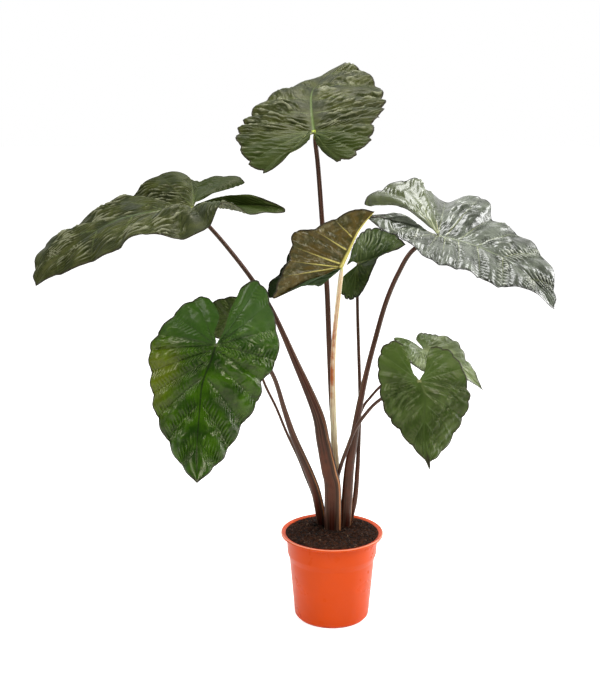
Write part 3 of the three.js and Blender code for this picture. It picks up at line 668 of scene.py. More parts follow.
def blade_sheet(leaf, finish, rows_across, columns, strength, seed):
    """The blade as one sheet: a straight line from midrib to edge for each row, whose first rows bend with
    the cleft's margin, then raised along its normal. Where a lobe's rows run close together, the normal
    leans towards the whole blade's."""
    last = BLADE["lobe_rows"] + BLADE["flank_rows"]
    rows = np.linspace(0, last, rows_across + 1)
    shares = np.linspace(0, 1, columns + 1)
    roots, edges, clefts = blade_rows(leaf, rows)
    lobe_samples = int(np.sum(rows <= BLADE["lobe_rows"])) - 1
    apex = rows_across - lobe_samples
    places, numbers, facts = [roots[lobe_samples:]], [], []
    count = apex + 1
    inner_rows = np.maximum(0, np.arange(rows_across + 1) - lobe_samples)
    for half, edge in enumerate(edges):
        grid = roots[:, None] + (edge - roots)[:, None] * shares[None, :, None]
        margin, reached = clefts[half]
        bend = curve_through(margin, reached * shares) - grid[0]
        fading = np.maximum(0, 1 - rows / BLADE["cleft_rows"]) ** 2
        grid = grid + fading[:, None, None] * bend[None]
        own = count + np.arange(rows_across * columns).reshape(rows_across, columns)
        count += rows_across * columns
        number = np.empty((rows_across + 1, columns + 1), int)
        number[:-1, 1:] = own
        number[:, 0] = inner_rows
        number[-1] = apex
        numbers.append(number)
        places.append(grid[:-1, 1:].reshape(-1, 3))
        facts.append(row_facts(grid, rows, shares, leaf, finish, strength, half, seed))
    places = np.vstack(places)
    triangles = np.concatenate([grid_triangles(numbers[0]), grid_triangles(numbers[1])[:, ::-1]])
    values = {}
    for key in facts[0]:
        middle = facts[0][key][lobe_samples:, 0]
        outer = [fact[key][:-1, 1:].reshape(-1) for fact in facts]
        values[key] = np.concatenate([middle, *outer])
    flat = vertex_normals(places, triangles)
    share = values.pop("plump")[:, None]
    flat = unit(flat * share + mean_normal(flat) * (1 - share))
    places = places + flat * values.pop("lift")[:, None]
    return places, triangles, vertex_normals(places, triangles), values


def mean_normal(normals):
    """The way a blade faces on the whole."""
    return unit(normals.sum(0))


def nearness(grid, rows, shares):
    """For each place of a half blade: its row and share of the way out, and how near it lies to veins and
    edge.

    The distance to a vein or an edge is the area of the cell spanned by the two parameters over the length
    of the side that runs along that vein or edge, times the parameter's distance to it. Spread is the
    distance from one row to the next. Plump is 0 where a lobe's rows run close along the edge, and inside
    is 0 at midrib and edge."""
    across = np.gradient(grid, rows, axis=0)
    outward = np.gradient(grid, shares, axis=1)
    area = np.linalg.norm(np.cross(across, outward), axis=2)
    across_length = np.maximum(np.linalg.norm(across, axis=2), 1e-6)
    outward_length = np.maximum(np.linalg.norm(outward, axis=2), 1e-6)
    row, share = np.broadcast_arrays(rows[:, None], shares[None, :])
    length = np.linalg.norm(grid[:, -1] - grid[:, 0], axis=1)[:, None]
    slant = area / (across_length * outward_length)
    near = {
        "row": row,
        "share": share,
        "slant": slant,
        "out": share * length,
        "lateral": np.abs(row - 2 * np.round(row / 2)) * area / outward_length,
        "margin": (1 - share) * area / across_length,
        "spread": area / outward_length,
        "reach": np.minimum(1, length / BLADE["narrow"]),
        "plump": np.where(row < BLADE["lobe_rows"], eased(slant, *WHERE["plump_slant"]), 1),
    }
    near["inside"] = (near["reach"] * eased(near["out"], *WHERE["relief_off_midrib"])
                      * eased(near["margin"], *WHERE["relief_off_margin"]) * near["plump"])
    return near


def broad_lift(near, last_row, leaf, half):
    """How far the broad forms raise a half blade: an arch of 4s(1 - s) over the share s of the way out, a
    pleat that is a cosine of the row, the edge's waves, and a rounded hump where the leaf has one."""
    row, share = near["row"], near["share"]
    relief = leaf["relief"]
    wave = np.sin(TURN * relief["turns"] * row / last_row + half * BLADE["half_phase"])
    pleat = -0.5 * relief["pleat"] * np.cos(np.pi * row) * np.sin(np.pi * share / 2)
    kept = LOBE_PLEAT + (1 - LOBE_PLEAT) * eased(row, *WHERE["flank_rows"])
    pleat = pleat * kept * eased(near["spread"], *WHERE["pleat_spread"])
    arch = relief["arch"] * 4 * share * (1 - share)
    lift = near["plump"] * near["reach"] * (arch + pleat + relief["ruffle"] * share ** 2 * wave)
    hump = leaf.get("hump")
    if hump and hump["half"] == half:
        shape = bump_at(row - hump["row"], hump["rows"]) * bump_at(share - hump["share"], hump["shares"])
        lift = lift + hump["height"] * shape
    return lift


def fine_relief(grid, near, clear, leaf, finish, seed):
    """The height of ripples, dimples and combs on a half blade.

    A ripple is a crested wave of the row, bent by uneven fields and swept forwards on its way out, with a
    finer one on it. A comb is a crested wave of the way out, and stands only beside a lateral and in
    patches."""
    row, share, out = near["row"], near["share"], near["out"]
    rough = finish["rough_lobes"] + (1 - finish["rough_lobes"]) * eased(row, *WHERE["rough_rows"])
    calm = near["inside"] * rough * uneven(grid, "calm", seed + 1)
    warp = uneven(grid, "warp", seed + 2) + uneven(grid, "fine_warp", seed + 3)
    in_lobe = 1 - eased(row, *WHERE["flank_rows"])
    sweep = leaf.get("sweep", finish["sweep"]) + RIPPLE["lobe_sweep"] * in_lobe
    swept = row - 0.5 * np.minimum(row, BLADE["lobe_rows"]) - sweep * share
    phase = TURN * finish["ripple_turns"] * swept / 2
    ripple = uneven(grid, "broken", seed + 5) * crest(phase + RIPPLE["bend"] * warp)
    second = crest(RIPPLE["second_turns"] * phase + RIPPLE["second_bend"] * warp)
    ripple = ripple + RIPPLE["second_height"] * second
    patches = eased(uneven(grid, "comb_patches", seed + 6), finish["sparse"] - 0.5, finish["sparse"] + 0.5)
    patches = np.maximum(patches, eased(row, *WHERE["combed_rows"]))
    between = np.abs(np.sin(np.pi * row / 2))
    comb = crest(TURN * (out / finish["comb_step"] - COMB["lag"] * between ** 2) + COMB["bend"] * warp)
    comb = COMB["height"] * comb * bump_at(near["lateral"] - COMB["beside"], COMB["width"]) * patches
    combed = (np.minimum(1, 2 * near["reach"]) * eased(out, *WHERE["comb_off_midrib"])
              * eased(near["margin"], *WHERE["comb_off_margin"]) * near["plump"] * rough)
    dimples = uneven(grid, "dimples", seed + 4)
    fine = calm * (finish["ripple"] * ripple * clear + finish["dimple"] * dimples)
    return fine + combed * finish["comb"] * comb


def row_facts(grid, rows, shares, leaf, finish, strength, half, seed):
    """For each place of a half blade: how far it is raised, its fine relief, which the colours take for
    painted highlight on crests and painted shade in hollows, and its nearness to the veins, the margin and
    the joint, each from 0 to 1. Quilting raises the ground between the laterals by the root of a sine of the
    row, and the laterals stand up or lie sunk by the finish's height."""
    near = nearness(grid, rows, shares)
    row, share, out, margin = near["row"], near["share"], near["out"], near["margin"]
    clear = eased(near["spread"] * 2 / finish["ripple_turns"], *WHERE["ripple_spread"])
    fine = fine_relief(grid, near, clear, leaf, finish, seed)
    flank = eased(row, *WHERE["flank_rows"])
    veined = (LOBE_VEINS + (1 - LOBE_VEINS) * flank) * (1 - eased(row, *WHERE["apex_rows"]))
    quilt = np.abs(np.sin(np.pi * row / 2)) ** QUILT["flatness"] - QUILT["level"]
    taper = 1 - BLADE["vein_taper"] * share
    vein = bump_at(near["lateral"], finish["vein_width"] * taper)
    vein_height = vein * eased(out, *WHERE["vein_off_midrib"]) * eased(margin, *WHERE["vein_off_margin"])
    veins = veined * (near["inside"] * clear * finish["quilt"] * quilt + finish["lateral"] * vein_height)
    shown = 1
    if "veins" in leaf:
        shown = sum(bump_at(row - vein_row, BLADE["shown_rows"]) for vein_row in leaf["veins"])
    rib_start, rib_end = BLADE["lobe_rows"], BLADE["lobe_rows"] + BLADE["flank_rows"]
    rib_distance = np.where(row > rib_start, out * np.maximum(near["slant"], BLADE["least_slant"]), out)
    rib_width = finish["rib_width"] * (1 - BLADE["rib_taper"] * eased(row, rib_start, rib_end))
    coloured_end = rib_start + BLADE["flank_rows"] * finish["rib_reach"]
    aged_row, aged_width = WHERE["aged_rows"]
    return {
        "lift": broad_lift(near, rows[-1], leaf, half) + strength * (fine + veins),
        "relief": np.clip(fine / (finish["ripple"] + finish["comb"]), *BLADE["relief_span"]),
        "lateral": vein * taper * eased(out, *WHERE["vein_colour_off_midrib"]) * shown
        * eased(row, *WHERE["first_rows"]),
        "rib": bump_at(rib_distance, rib_width)
        * (1 - eased(row, coloured_end - BLADE["rib_fade"], coloured_end)),
        "margin": bump_at(margin, BLADE["margin_width"]),
        "joint": bump_at(out, BLADE["joint_radius"]) * (row <= BLADE["joint_rows"]),
        "aged": eased(share, *WHERE["aged_shares"]) * bump_at(row - aged_row, aged_width)
        * (half in leaf.get("yellow_halves", ())),
        "lobe": (1 - eased(row, *WHERE["lobe_colour_rows"])) * (half in leaf.get("green_lobes", (0, 1))),
        "out": out,
        "plump": near["plump"],
    }


def row_shares(rows_across, columns):
    """The share of the last row that each vertex's row is, in the order that blade_sheet puts the
    vertices."""
    last = BLADE["lobe_rows"] + BLADE["flank_rows"]
    rows = np.linspace(0, last, rows_across + 1)
    middle = rows[rows >= BLADE["lobe_rows"] - 1e-9]
    outer = np.repeat(rows[:-1], columns)
    return np.concatenate([middle, outer, outer]) / last


def blade_solid(places, triangles, normals, values, along, thickness):
    """The sheet given its thickness: half of it to each side along the normals, with the midrib and the
    laterals standing out below, and the two faces joined round the edge."""
    count = len(places)
    below = BLADE["rib_depth"] * values["rib"] * along + BLADE["vein_depth"] * values["lateral"]
    upper = places + normals * (thickness / 2)
    lower = places - normals * (thickness / 2 + below)[:, None]
    edges = open_edges(triangles, count)
    start, end = edges[:, 0], edges[:, 1]
    band = np.concatenate([
        np.stack([start, start + count, end + count], 1), np.stack([start, end + count, end], 1),
    ])
    return np.vstack([upper, lower]), np.concatenate([triangles, triangles[:, ::-1] + count, band])


def blade_material(name, finish, upper):
    """Two greens in patches under the layers of the blade's values, which include a painted highlight on the
    relief's crests and painted shade in its hollows; the underside has its own ground with streaks along the
    veins, a bloom in patches, and its veins. Lobes are duller, and fine fibres roughen the gloss."""
    made = Finish(name)
    colour = made.layer(finish["dark_and_hollow_shade"], made.noise(38, detail=4), 0.35, 0.68, 1, upper)
    for value, low, high, share, key in UPPER_LAYERS:
        colour = made.layer(colour, made.value(value), low, high, share or finish["tint"], finish[key])
    veins = made.joined(made.value("lateral"), made.value("rib"), "MAXIMUM")
    along_veins = made.streaks((26, 14), detail=5, roughness=0.65)
    below = made.layer(finish["under"], along_veins, 0.4, 0.62, 0.6, finish["dark_and_hollow_shade"])
    below = made.layer(below, made.noise(13, detail=5, roughness=0.7), 0.5, 0.7, 0.55, finish["bloom"])
    below = made.layer(below, veins, 0.25, 0.9, 0.9, finish["under_vein"])
    below = made.layer(below, made.value("margin"), 0.3, 0.9, 0.8, finish["margin"])
    colour = made.blend(made.value("underside"), colour, below)
    gloss = made.ranged(made.noise(16), 0.3, 0.7, finish["roughness"] - 0.06, finish["roughness"] + 0.08)
    gloss = made.joined(gloss, made.ranged(made.value("lobe"), 0.2, 1, 0, finish["dull_lobes"]), "ADD")
    made.shade(base_color=colour, roughness=gloss, specular_ior_level=finish["specular"],
               specular_tint=finish["gleam"], coat_weight=finish["coat"], coat_roughness=0.16)
    fibres = made.streaks((900, 160), detail=3, roughness=0.6, distortion=0.4)
    made.bump(made.joined(fibres, made.noise(3), "ADD"), 0.35, 0.5)
    return made.material


def add_blade(name, leaf, settings, seed):
    """Makes a leaf's blade, and gives the place just below it where its petiole ends."""
    finish = FINISHES[leaf["colour"]]
    round_lobed = len(leaf["right"]["lobe"]) > BLADE["round_points"]
    rows, columns = BLADE["fine_grid"] if round_lobed else BLADE["plain_grid"]
    places, triangles, normals, values = blade_sheet(leaf, finish, rows, columns, settings.relief, seed)
    apex = rows - rows * BLADE["lobe_rows"] // (BLADE["lobe_rows"] + BLADE["flank_rows"])
    distance = np.linalg.norm(places - places[0], axis=1)
    along = np.clip(1 - distance / np.linalg.norm(places[apex] - places[0]), 0, 1)
    solid = blade_solid(places, triangles, normals, values, along, settings.thickness / MM)
    values = {key: np.tile(numbers, 2) for key, numbers in values.items()}
    values["underside"] = np.repeat([0.0, 1.0], len(places))
    uv = np.stack([values.pop("out") * MM, np.tile(row_shares(rows, columns), 2)], 1)
    material = blade_material("leaf_" + name, finish, (*getattr(settings, leaf["colour"]), 1))
    add_piece("leaf_" + name, *solid, material, "blade_" + name, SLOTS[leaf["colour"]], values, uv)
    return places[0] - mean_normal(normals) * PETIOLE["under_blade"]


# Petioles


def petiole_solid(leaf, end):
    """A stalk carried along its route: an ellipse whose width and flatness follow the sheath's share, with
    the inner channel cut to the cube of how far a place looks inwards, the sheath's edge and fine ribs
    round it, and its upper end rounded to a point."""
    soil_width, stalk_width, top_width = leaf["widths"]
    foot = [*leaf["route"][0][:2], PETIOLE["foot_height"]]
    middle, forward = evenly_along([foot, *leaf["route"][:-1], end], PETIOLE["steps"])
    outer = unit(np.array([*leaf["facing"], -PETIOLE["droop"]], float))
    out = unit(outer - forward * (forward @ outer)[:, None])
    aside = np.cross(forward, out)
    along = np.linspace(0, 1, PETIOLE["steps"] + 1)[:, None]
    sheath = 1 - eased(along, PETIOLE["sheath_start"], leaf["sheath"])
    width = stalk_width + (top_width - stalk_width) * along + (soil_width - stalk_width) * sheath
    flatness = PETIOLE["stalk_flatness"] + (PETIOLE["sheath_flatness"] - PETIOLE["stalk_flatness"]) * sheath
    cap_start = 1 - PETIOLE["cap"] / PETIOLE["steps"]
    into_cap = np.maximum(0, along - cap_start) / (1 - cap_start)
    width = width * np.sqrt(np.maximum(1 - into_cap ** 2, PETIOLE["cap_end"]))
    depth = width * (1 - flatness)
    angle = np.linspace(0, TURN, PETIOLE["sides"], endpoint=False)[None, :]
    inward = np.maximum(0, -np.cos(angle))
    from_flap = np.abs((angle - PETIOLE["flap_angle"] + np.pi) % TURN - np.pi)
    flap = bump_at(from_flap, PETIOLE["flap_width"]) * sheath
    ribbed = 1 + PETIOLE["flap_height"] * flap + PETIOLE["rib_height"] * np.sin(PETIOLE["ribs"] * angle)
    reach_out = ribbed * depth / 2 * np.cos(angle) + PETIOLE["groove"] * depth * sheath * inward ** 3
    reach_aside = ribbed * width / 2 * np.sin(angle)
    ring = middle[:, None] + out[:, None] * reach_out[..., None] + aside[:, None] * reach_aside[..., None]
    count = ring.shape[0] * ring.shape[1]
    numbers = np.arange(count).reshape(ring.shape[:2])
    wrapped = np.hstack([numbers, numbers[:, :1]])
    bottom, top = count, count + 1
    round_foot, round_top = wrapped[0], wrapped[-1]
    triangles = np.concatenate([
        grid_triangles(wrapped),
        np.stack([round_foot[1:], round_foot[:-1], np.full(PETIOLE["sides"], bottom)], 1),
        np.stack([round_top[:-1], round_top[1:], np.full(PETIOLE["sides"], top)], 1),
    ])
    places = np.vstack([ring.reshape(-1, 3), middle[0], middle[-1]])

    def with_ends(field, at_bottom, at_top):
        return np.append(np.broadcast_to(field, numbers.shape).ravel(), [at_bottom, at_top])

    values = {
        "edge": with_ends(flap, 0, 0),
        "along": with_ends(along, 0, 1),
        "flushed": with_ends(eased(np.cos(angle - PETIOLE["flush_angle"]), *PETIOLE["flush_span"]), 0, 0),
    }
    uv = np.stack([with_ends(np.abs(angle / TURN - 0.5), 0, 0), with_ends(along, 0, 1)], 1)
    return places, triangles, values, uv


def petiole_material(name, stalk):
    """Skin with streaks drawn out along the stalk and darker bands, a flush on one side of a stretch of it,
    the paler edge of the sheath, and a lime joint under the blade."""
    made = Finish(name)
    streaks = made.streaks((22, 1.6), detail=4, roughness=0.6)
    bands = made.streaks((13, 2.6), detail=3, roughness=0.6)
    start, end, fading = stalk["flush_reach"]
    rise = made.ranged(made.value("along"), start, start + fading)
    fall = made.ranged(made.value("along"), end, end - fading)
    flush = made.joined(made.joined(rise, fall, "MULTIPLY"), made.value("flushed"), "MULTIPLY")
    patches = made.ranged(made.noise(30), 0.35, 0.6, 0.4, 1)
    colour = made.layer(stalk["skin"], streaks, 0.44, 0.6, 0.85, stalk["streak"])
    colour = made.layer(colour, bands, 0.48, 0.6, 0.9, stalk["dark"])
    colour = made.blend(made.joined(flush, patches, "MULTIPLY"), colour, stalk["flush"])
    colour = made.layer(colour, made.value("edge"), 0.4, 0.95, 0.9, stalk["edge"])
    colour = made.layer(colour, made.value("along"), 0.985, 1, 0.9, JOINT_LIME)
    made.shade(base_color=colour, roughness=made.ranged(streaks, 0.3, 0.7, 0.26, 0.4), specular_ior_level=0.4,
               specular_tint="ffe6d0")
    made.bump(made.joined(streaks, made.noise(2.5), "ADD"), 0.4, 0.4)
    return made.material


def add_petiole(name, leaf, end):
    """Makes a leaf's petiole, up to the end."""
    stalk = leaf.get("stalk", "petiole_maroon")
    places, triangles, values, uv = petiole_solid(leaf, end)
    material = petiole_material("stalk_" + name, STALKS[stalk])
    add_piece("stalk_" + name, places, triangles, material, "petiole_" + name, stalk, values, uv)


# Pot


def rounded(profile, steps):
    """A profile with each inner corner turned into a curve of the second degree, which starts and ends at
    most the pot's rounding or 0.4 of the side away from it."""
    profile = np.asarray(profile, float)
    made = [profile[0]]
    share = np.linspace(0, 1, steps)[:, None]
    for before, corner, after in zip(profile[:-2], profile[1:-1], profile[2:]):
        ends = []
        for other in (before, after):
            side = other - corner
            length = np.linalg.norm(side)
            ends.append(corner + side * min(0.4, POT["rounding"] / length))
        made.extend((1 - share) ** 2 * ends[0] + 2 * share * (1 - share) * corner + share ** 2 * ends[1])
    return np.vstack([*made, profile[-1]])


def turned(profile, sides):
    """The profile carried round the upright axis. Its first and last points lie on it and are one vertex
    each."""
    angle = np.linspace(0, TURN, sides, endpoint=False)
    rings = profile[1:-1]
    heights = np.broadcast_to(rings[:, 1:], (len(rings), sides))
    ring = np.stack([rings[:, :1] * np.cos(angle), rings[:, :1] * np.sin(angle), heights], 2)
    numbers = np.arange(ring.shape[0] * sides).reshape(-1, sides)
    wrapped = np.hstack([numbers, numbers[:, :1]])
    first, last = numbers.size, numbers.size + 1
    triangles = np.concatenate([
        grid_triangles(wrapped)[:, ::-1],
        np.stack([wrapped[0, :-1], np.full(sides, first), wrapped[0, 1:]], 1),
        np.stack([wrapped[-1, :-1], wrapped[-1, 1:], np.full(sides, last)], 1),
    ])
    places = np.vstack([ring.reshape(-1, 3), [0, 0, profile[0, 1]], [0, 0, profile[-1, 1]]])
    return places, triangles


def pot_wall(inset):
    """The points of the pot's wall from its foot's corner up to the collar, moved in by the inset."""
    return [
        (POT["corner_radius"] - inset, POT["corner_height"]),
        (POT["body_top_radius"] - inset, POT["body_top_height"]),
        (POT["collar_foot_radius"] - inset, POT["collar_foot_height"]),
        (POT["collar_radius"] - inset, POT["height"] - 2 * POT["rim_thickness"]),
    ]


def pot_profile():
    """The pot's section from the middle of its underside, up the outside, over the beaded rim and down
    inside."""
    rim_foot = POT["height"] - POT["rim_thickness"]
    rim_top = POT["height"] - POT["bead_height"]
    bead = POT["rim_radius"] - POT["bead_width"]
    outside = [(0, 0), (POT["foot_radius"], 0), *pot_wall(0),
               (POT["collar_radius"] + POT["under_rim"], rim_foot),
               (POT["rim_radius"], rim_foot), (POT["rim_radius"], POT["height"])]
    inside = [(bead, POT["height"]), (bead - POT["bead_slope"], rim_top),
              (POT["rim_radius"] - POT["rim_width"], rim_top),
              (POT["collar_radius"] - POT["wall"] + POT["under_rim"], rim_foot),
              *reversed(pot_wall(POT["wall"])), (POT["foot_radius"], POT["floor"]), (0, POT["floor"])]
    return rounded(outside + inside, POT["round_steps"])


def drill_drain_holes(pot):
    """Cuts the ring of drain holes through the pot's floor."""
    tall = 4 * POT["floor"]
    profile = np.array([(0, -tall), (DRAIN["radius"], -tall), (DRAIN["radius"], tall), (0, tall)], float)
    upright, triangles = turned(profile, DRAIN["sides"])
    for angle in TURN * np.arange(DRAIN["count"]) / DRAIN["count"]:
        place = [DRAIN["ring_radius"] * np.cos(angle), DRAIN["ring_radius"] * np.sin(angle), 0]
        drill = in_scene("drill", mesh_of("drill", (upright + place) * MM, triangles))
        cut = pot.modifiers.new("drain", "BOOLEAN")
        cut.object = drill
        cut.operation = "DIFFERENCE"
        cut.solver = "EXACT"
        evaluated = pot.evaluated_get(bpy.context.evaluated_depsgraph_get())
        whole = bpy.data.meshes.new_from_object(evaluated)
        pot.modifiers.remove(cut)
        pot.data = whole
        bpy.data.objects.remove(drill)


def pot_material(colour):
    """Moulded plastic: one colour, a little paler in soft clouds and dusty spots, with a pale painted
    highlight on the rim's bead."""
    made = Finish("pot_plastic")
    cloud = made.noise(60)
    shade = made.layer(colour, cloud, 0.3, 0.75, 0.35, "d84a10")
    shade = made.layer(shade, made.noise(9, detail=5, roughness=0.7), 0.62, 0.8, 0.25, "e8804a")
    place = made.node("ShaderNodeSeparateXYZ", {0: made.object_place})
    flat_place = made.node("ShaderNodeCombineXYZ", {0: place.outputs["X"], 1: place.outputs["Y"]}).outputs[0]
    radius = made.node("ShaderNodeVectorMath", {0: flat_place}, operation="LENGTH").outputs["Value"]
    depth, full_depth = 1.4, 0.5  # below the top, where the painted highlight starts and is full
    inset, full_inset = POT["bead_width"] + 0.4, 1.4  # the same, in from the rim's outside
    high = made.ranged(place.outputs["Z"], (POT["height"] - depth) * MM, (POT["height"] - full_depth) * MM)
    rim = POT["rim_radius"]
    lip_highlight = made.ranged(radius, (rim - inset) * MM, (rim - full_inset) * MM, 0, 0.8)
    # A pale pink painted highlight along the top of the rim's bead
    shade = made.blend(made.joined(high, lip_highlight, "MULTIPLY"), shade, "f2a888")
    made.shade(base_color=shade, roughness=made.ranged(cloud, 0.3, 0.7, 0.26, 0.36), specular_ior_level=0.18,
               specular_tint=(1, 0.6, 0.35, 1), coat_weight=0.25, coat_roughness=0.12)
    made.bump(made.noise(1.6, detail=2), 0.08, 0.2)
    return made.material


# Soil


def soil_height(radius_share, angle):
    """The mound, which falls with the square of the share of the radius, and two crossed waves of clods on
    it."""
    waves = [np.sin(turns * angle + sweep * radius_share)
             for turns, sweep in zip(SOIL["clod_turns"], SOIL["clod_sweeps"])]
    return (SOIL["edge_height"] + SOIL["mound"] * (1 - radius_share ** 2)
            + SOIL["clod"] * waves[0] * waves[1] * 4 * radius_share * (1 - radius_share))


def soil_solid():
    """Soil that fills the pot: the pot's inside turned round, under a top of rings that carries lumps."""
    edge = SOIL["edge_radius"]
    inset = POT["wall"] + SOIL["gap"]
    under_edge = (POT["collar_radius"] - inset + POT["under_rim"], POT["height"] - POT["rim_thickness"])
    side = [(0, SOIL["floor"]), (SOIL["foot_radius"], SOIL["floor"]), *pot_wall(inset), under_edge]
    top = [(edge * share, SOIL["edge_height"]) for share in np.linspace(1, 0, SOIL["rings"])]
    places, triangles = turned(np.array(side + top, float), SOIL["sides"])
    on_top = places[:, 2] == SOIL["edge_height"]
    share = np.hypot(places[:, 0], places[:, 1]) / edge
    angle = np.arctan2(places[:, 1], places[:, 0])
    raised = soil_height(share, angle)
    for seed, (size, height) in enumerate(SOIL["lumps"], start=SOIL["lump_seed"]):
        raised = raised + height * rolling(places, size, seed) * eased(1 - share, 0, SOIL["level_edge"])
    places[:, 2] = np.where(on_top, raised, places[:, 2])
    return places, triangles


def scattered(count, draw):
    """Random places on the soil, even over its area, with the soil's height at each."""
    share = np.sqrt(draw.uniform(0, SOIL["strewn"], count))
    angle = draw.uniform(-np.pi, np.pi, count)
    radius = share * SOIL["edge_radius"]
    return np.stack([radius * np.cos(angle), radius * np.sin(angle), soil_height(share, angle)], 1)


def crumb_solids(draw):
    """Crumbs of bark: a box of eight corners, each moved at random, stretched and turned its own way."""
    count = CRUMBS["count"]
    corners = np.array([[x, y, z] for x in (-1, 1) for y in (-1, 1) for z in (-1, 1)], float)
    size = draw.uniform(*CRUMBS["size"], (count, 1, 1)) * draw.uniform(CRUMBS["thin"], 1, (count, 1, 3))
    moved = corners + draw.uniform(-CRUMBS["uneven"], CRUMBS["uneven"], (count, 8, 3))
    shape = moved * size / 2 * CRUMBS["swell"]
    first = unit(draw.normal(size=(count, 3)))
    second = unit(np.cross(first, draw.normal(size=(count, 3))))
    axes = np.stack([first, second, np.cross(first, second)], 1)
    places = np.einsum("nck,nkd->ncd", shape, axes) + scattered(count, draw)[:, None]
    box = np.array([[0, 1, 3], [0, 3, 2], [4, 6, 7], [4, 7, 5], [0, 4, 5], [0, 5, 1], [2, 3, 7], [2, 7, 6],
                    [0, 2, 6], [0, 6, 4], [1, 5, 7], [1, 7, 3]])
    triangles = (box[None] + 8 * np.arange(count)[:, None, None]).reshape(-1, 3)
    tone = np.repeat(draw.uniform(0, 1, count), 8)
    return places.reshape(-1, 3), triangles, {"tone": tone}


def fibre_solids(draw):
    """Loose fibres: a thin three-sided thread along a bent arc that lies on the soil."""
    count, steps = FIBRES["count"], FIBRES["steps"]
    start = scattered(count, draw) * [FIBRES["inset"], FIBRES["inset"], 1]
    along = np.linspace(0, 1, steps)
    bend = FIBRES["bend"]
    heading = draw.uniform(0, TURN, (count, 1)) + draw.uniform(-bend, bend, (count, 1)) * along
    step = draw.uniform(*FIBRES["length"], (count, 1)) / steps
    path = np.stack([np.cumsum(np.cos(heading) * step, 1), np.cumsum(np.sin(heading) * step, 1),
                     FIBRES["rise"] * np.sin(np.pi * along) * draw.uniform(0, 1, (count, 1))], 2)
    path = path + start[:, None] + [0, 0, FIBRES["clear"]]
    around = TURN * np.arange(3)[:, None] / 3
    aside = np.stack([-np.sin(heading), np.cos(heading), 0 * heading], 2)
    corners = aside[:, :, None] * np.cos(around) + np.array([0, 0, 1]) * np.sin(around)
    ring = path[:, :, None] + FIBRES["width"] * corners
    numbers = np.arange(count * steps * 3).reshape(count, steps, 3)
    wrapped = np.concatenate([numbers, numbers[:, :, :1]], 2)
    sides = np.concatenate([grid_triangles(one) for one in wrapped])
    ends = np.concatenate([numbers[:, 0, ::-1], numbers[:, -1]])
    tone = np.repeat(draw.uniform(0.3, 1, count), steps * 3)
    return ring.reshape(-1, 3), np.concatenate([sides, ends]), {"tone": tone}


def soil_material(colour):
    """Dark damp peat: black-brown and browner in patches at random, with pale specks."""
    made = Finish("potting_soil")
    shade = made.layer("180b05", made.noise(7, detail=6, roughness=0.7), 0.4, 0.7, 1, colour)
    shade = made.layer(shade, made.noise(2.2, detail=4, roughness=0.7), 0.6, 0.72, 0.7, "6b4a30")
    made.shade(base_color=shade, roughness=made.ranged(made.noise(4), 0.3, 0.7, 0.75, 0.98),
               specular_ior_level=0.15)
    made.bump(made.noise(1.8, detail=6, roughness=0.75), 1.0, 1.2)
    return made.material


def crumb_material():
    """Bark and fibre from black-brown to straw, one tone to each bit."""
    made = Finish("bark_and_fibre")
    shade = made.layer("1d110a", made.value("tone"), 0.35, 1.0, 1, "54392a")
    shade = made.layer(shade, made.value("tone"), 0.94, 1.0, 1, "94775a")
    shade = made.layer(shade, made.noise(1.5, detail=4), 0.4, 0.7, 0.6, "1c110a")
    made.shade(base_color=shade, roughness=made.ranged(made.noise(3, detail=2), 0.3, 0.7, 0.7, 0.95))
    made.bump(made.noise(0.8, detail=4), 0.6, 0.3)
    return made.material


# Settings, operators and the panel


def colour_of(name, code, description):
    return bpy.props.FloatVectorProperty(
        name=name, description=description, default=paint(code), size=3, min=0, max=1, subtype="COLOR")


def green_of(name, key, description):
    return colour_of(name, FINISHES[key]["upper"], "The upper side of " + description)


def length_of(name, millimetres, description):
    return bpy.props.FloatProperty(
        name=name, description=description, default=millimetres * MM, min=0.0001, unit="LENGTH",
        subtype="DISTANCE")


class AlocasiaFoliage(bpy.types.PropertyGroup):
    thickness: length_of("Blade thickness", 1.0, "How thick a blade is between its veins")
    relief: bpy.props.FloatProperty(
        name="Relief", description="How strongly ripples and veins stand out", default=1.0, min=0, max=2,
        subtype="FACTOR")
    grey_green: green_of("Grey-green", "grey_green", "the two high satin leaves")
    silver_green: green_of("Silver-green", "silver_green", "the silvery leaf")
    gloss_green: green_of("Gloss green", "gloss_green", "the glossy front leaf")
    dark_green: green_of("Dark green", "dark_green", "the small dark leaves")
    soft_green: green_of("Soft green", "soft_green", "the small leaf behind")
    pale_green: green_of("Pale green", "pale_green", "the pale leaf at the back")
    bronze: green_of("Young green", "bronze", "the young leaf")


class AlocasiaPot(bpy.types.PropertyGroup):
    plastic: colour_of("Plastic", "de4a04", "The pot's colour")
    soil: colour_of("Soil", "4e2c18", "The colour of the soil's lumps")


class AlocasiaStage(bpy.types.PropertyGroup):
    floor: colour_of("Floor", "f4f4f2", "The floor's colour")
    light: bpy.props.FloatProperty(
        name="Light", description="How bright the studio lamps are", default=1.0, min=0, max=4,
        subtype="FACTOR")


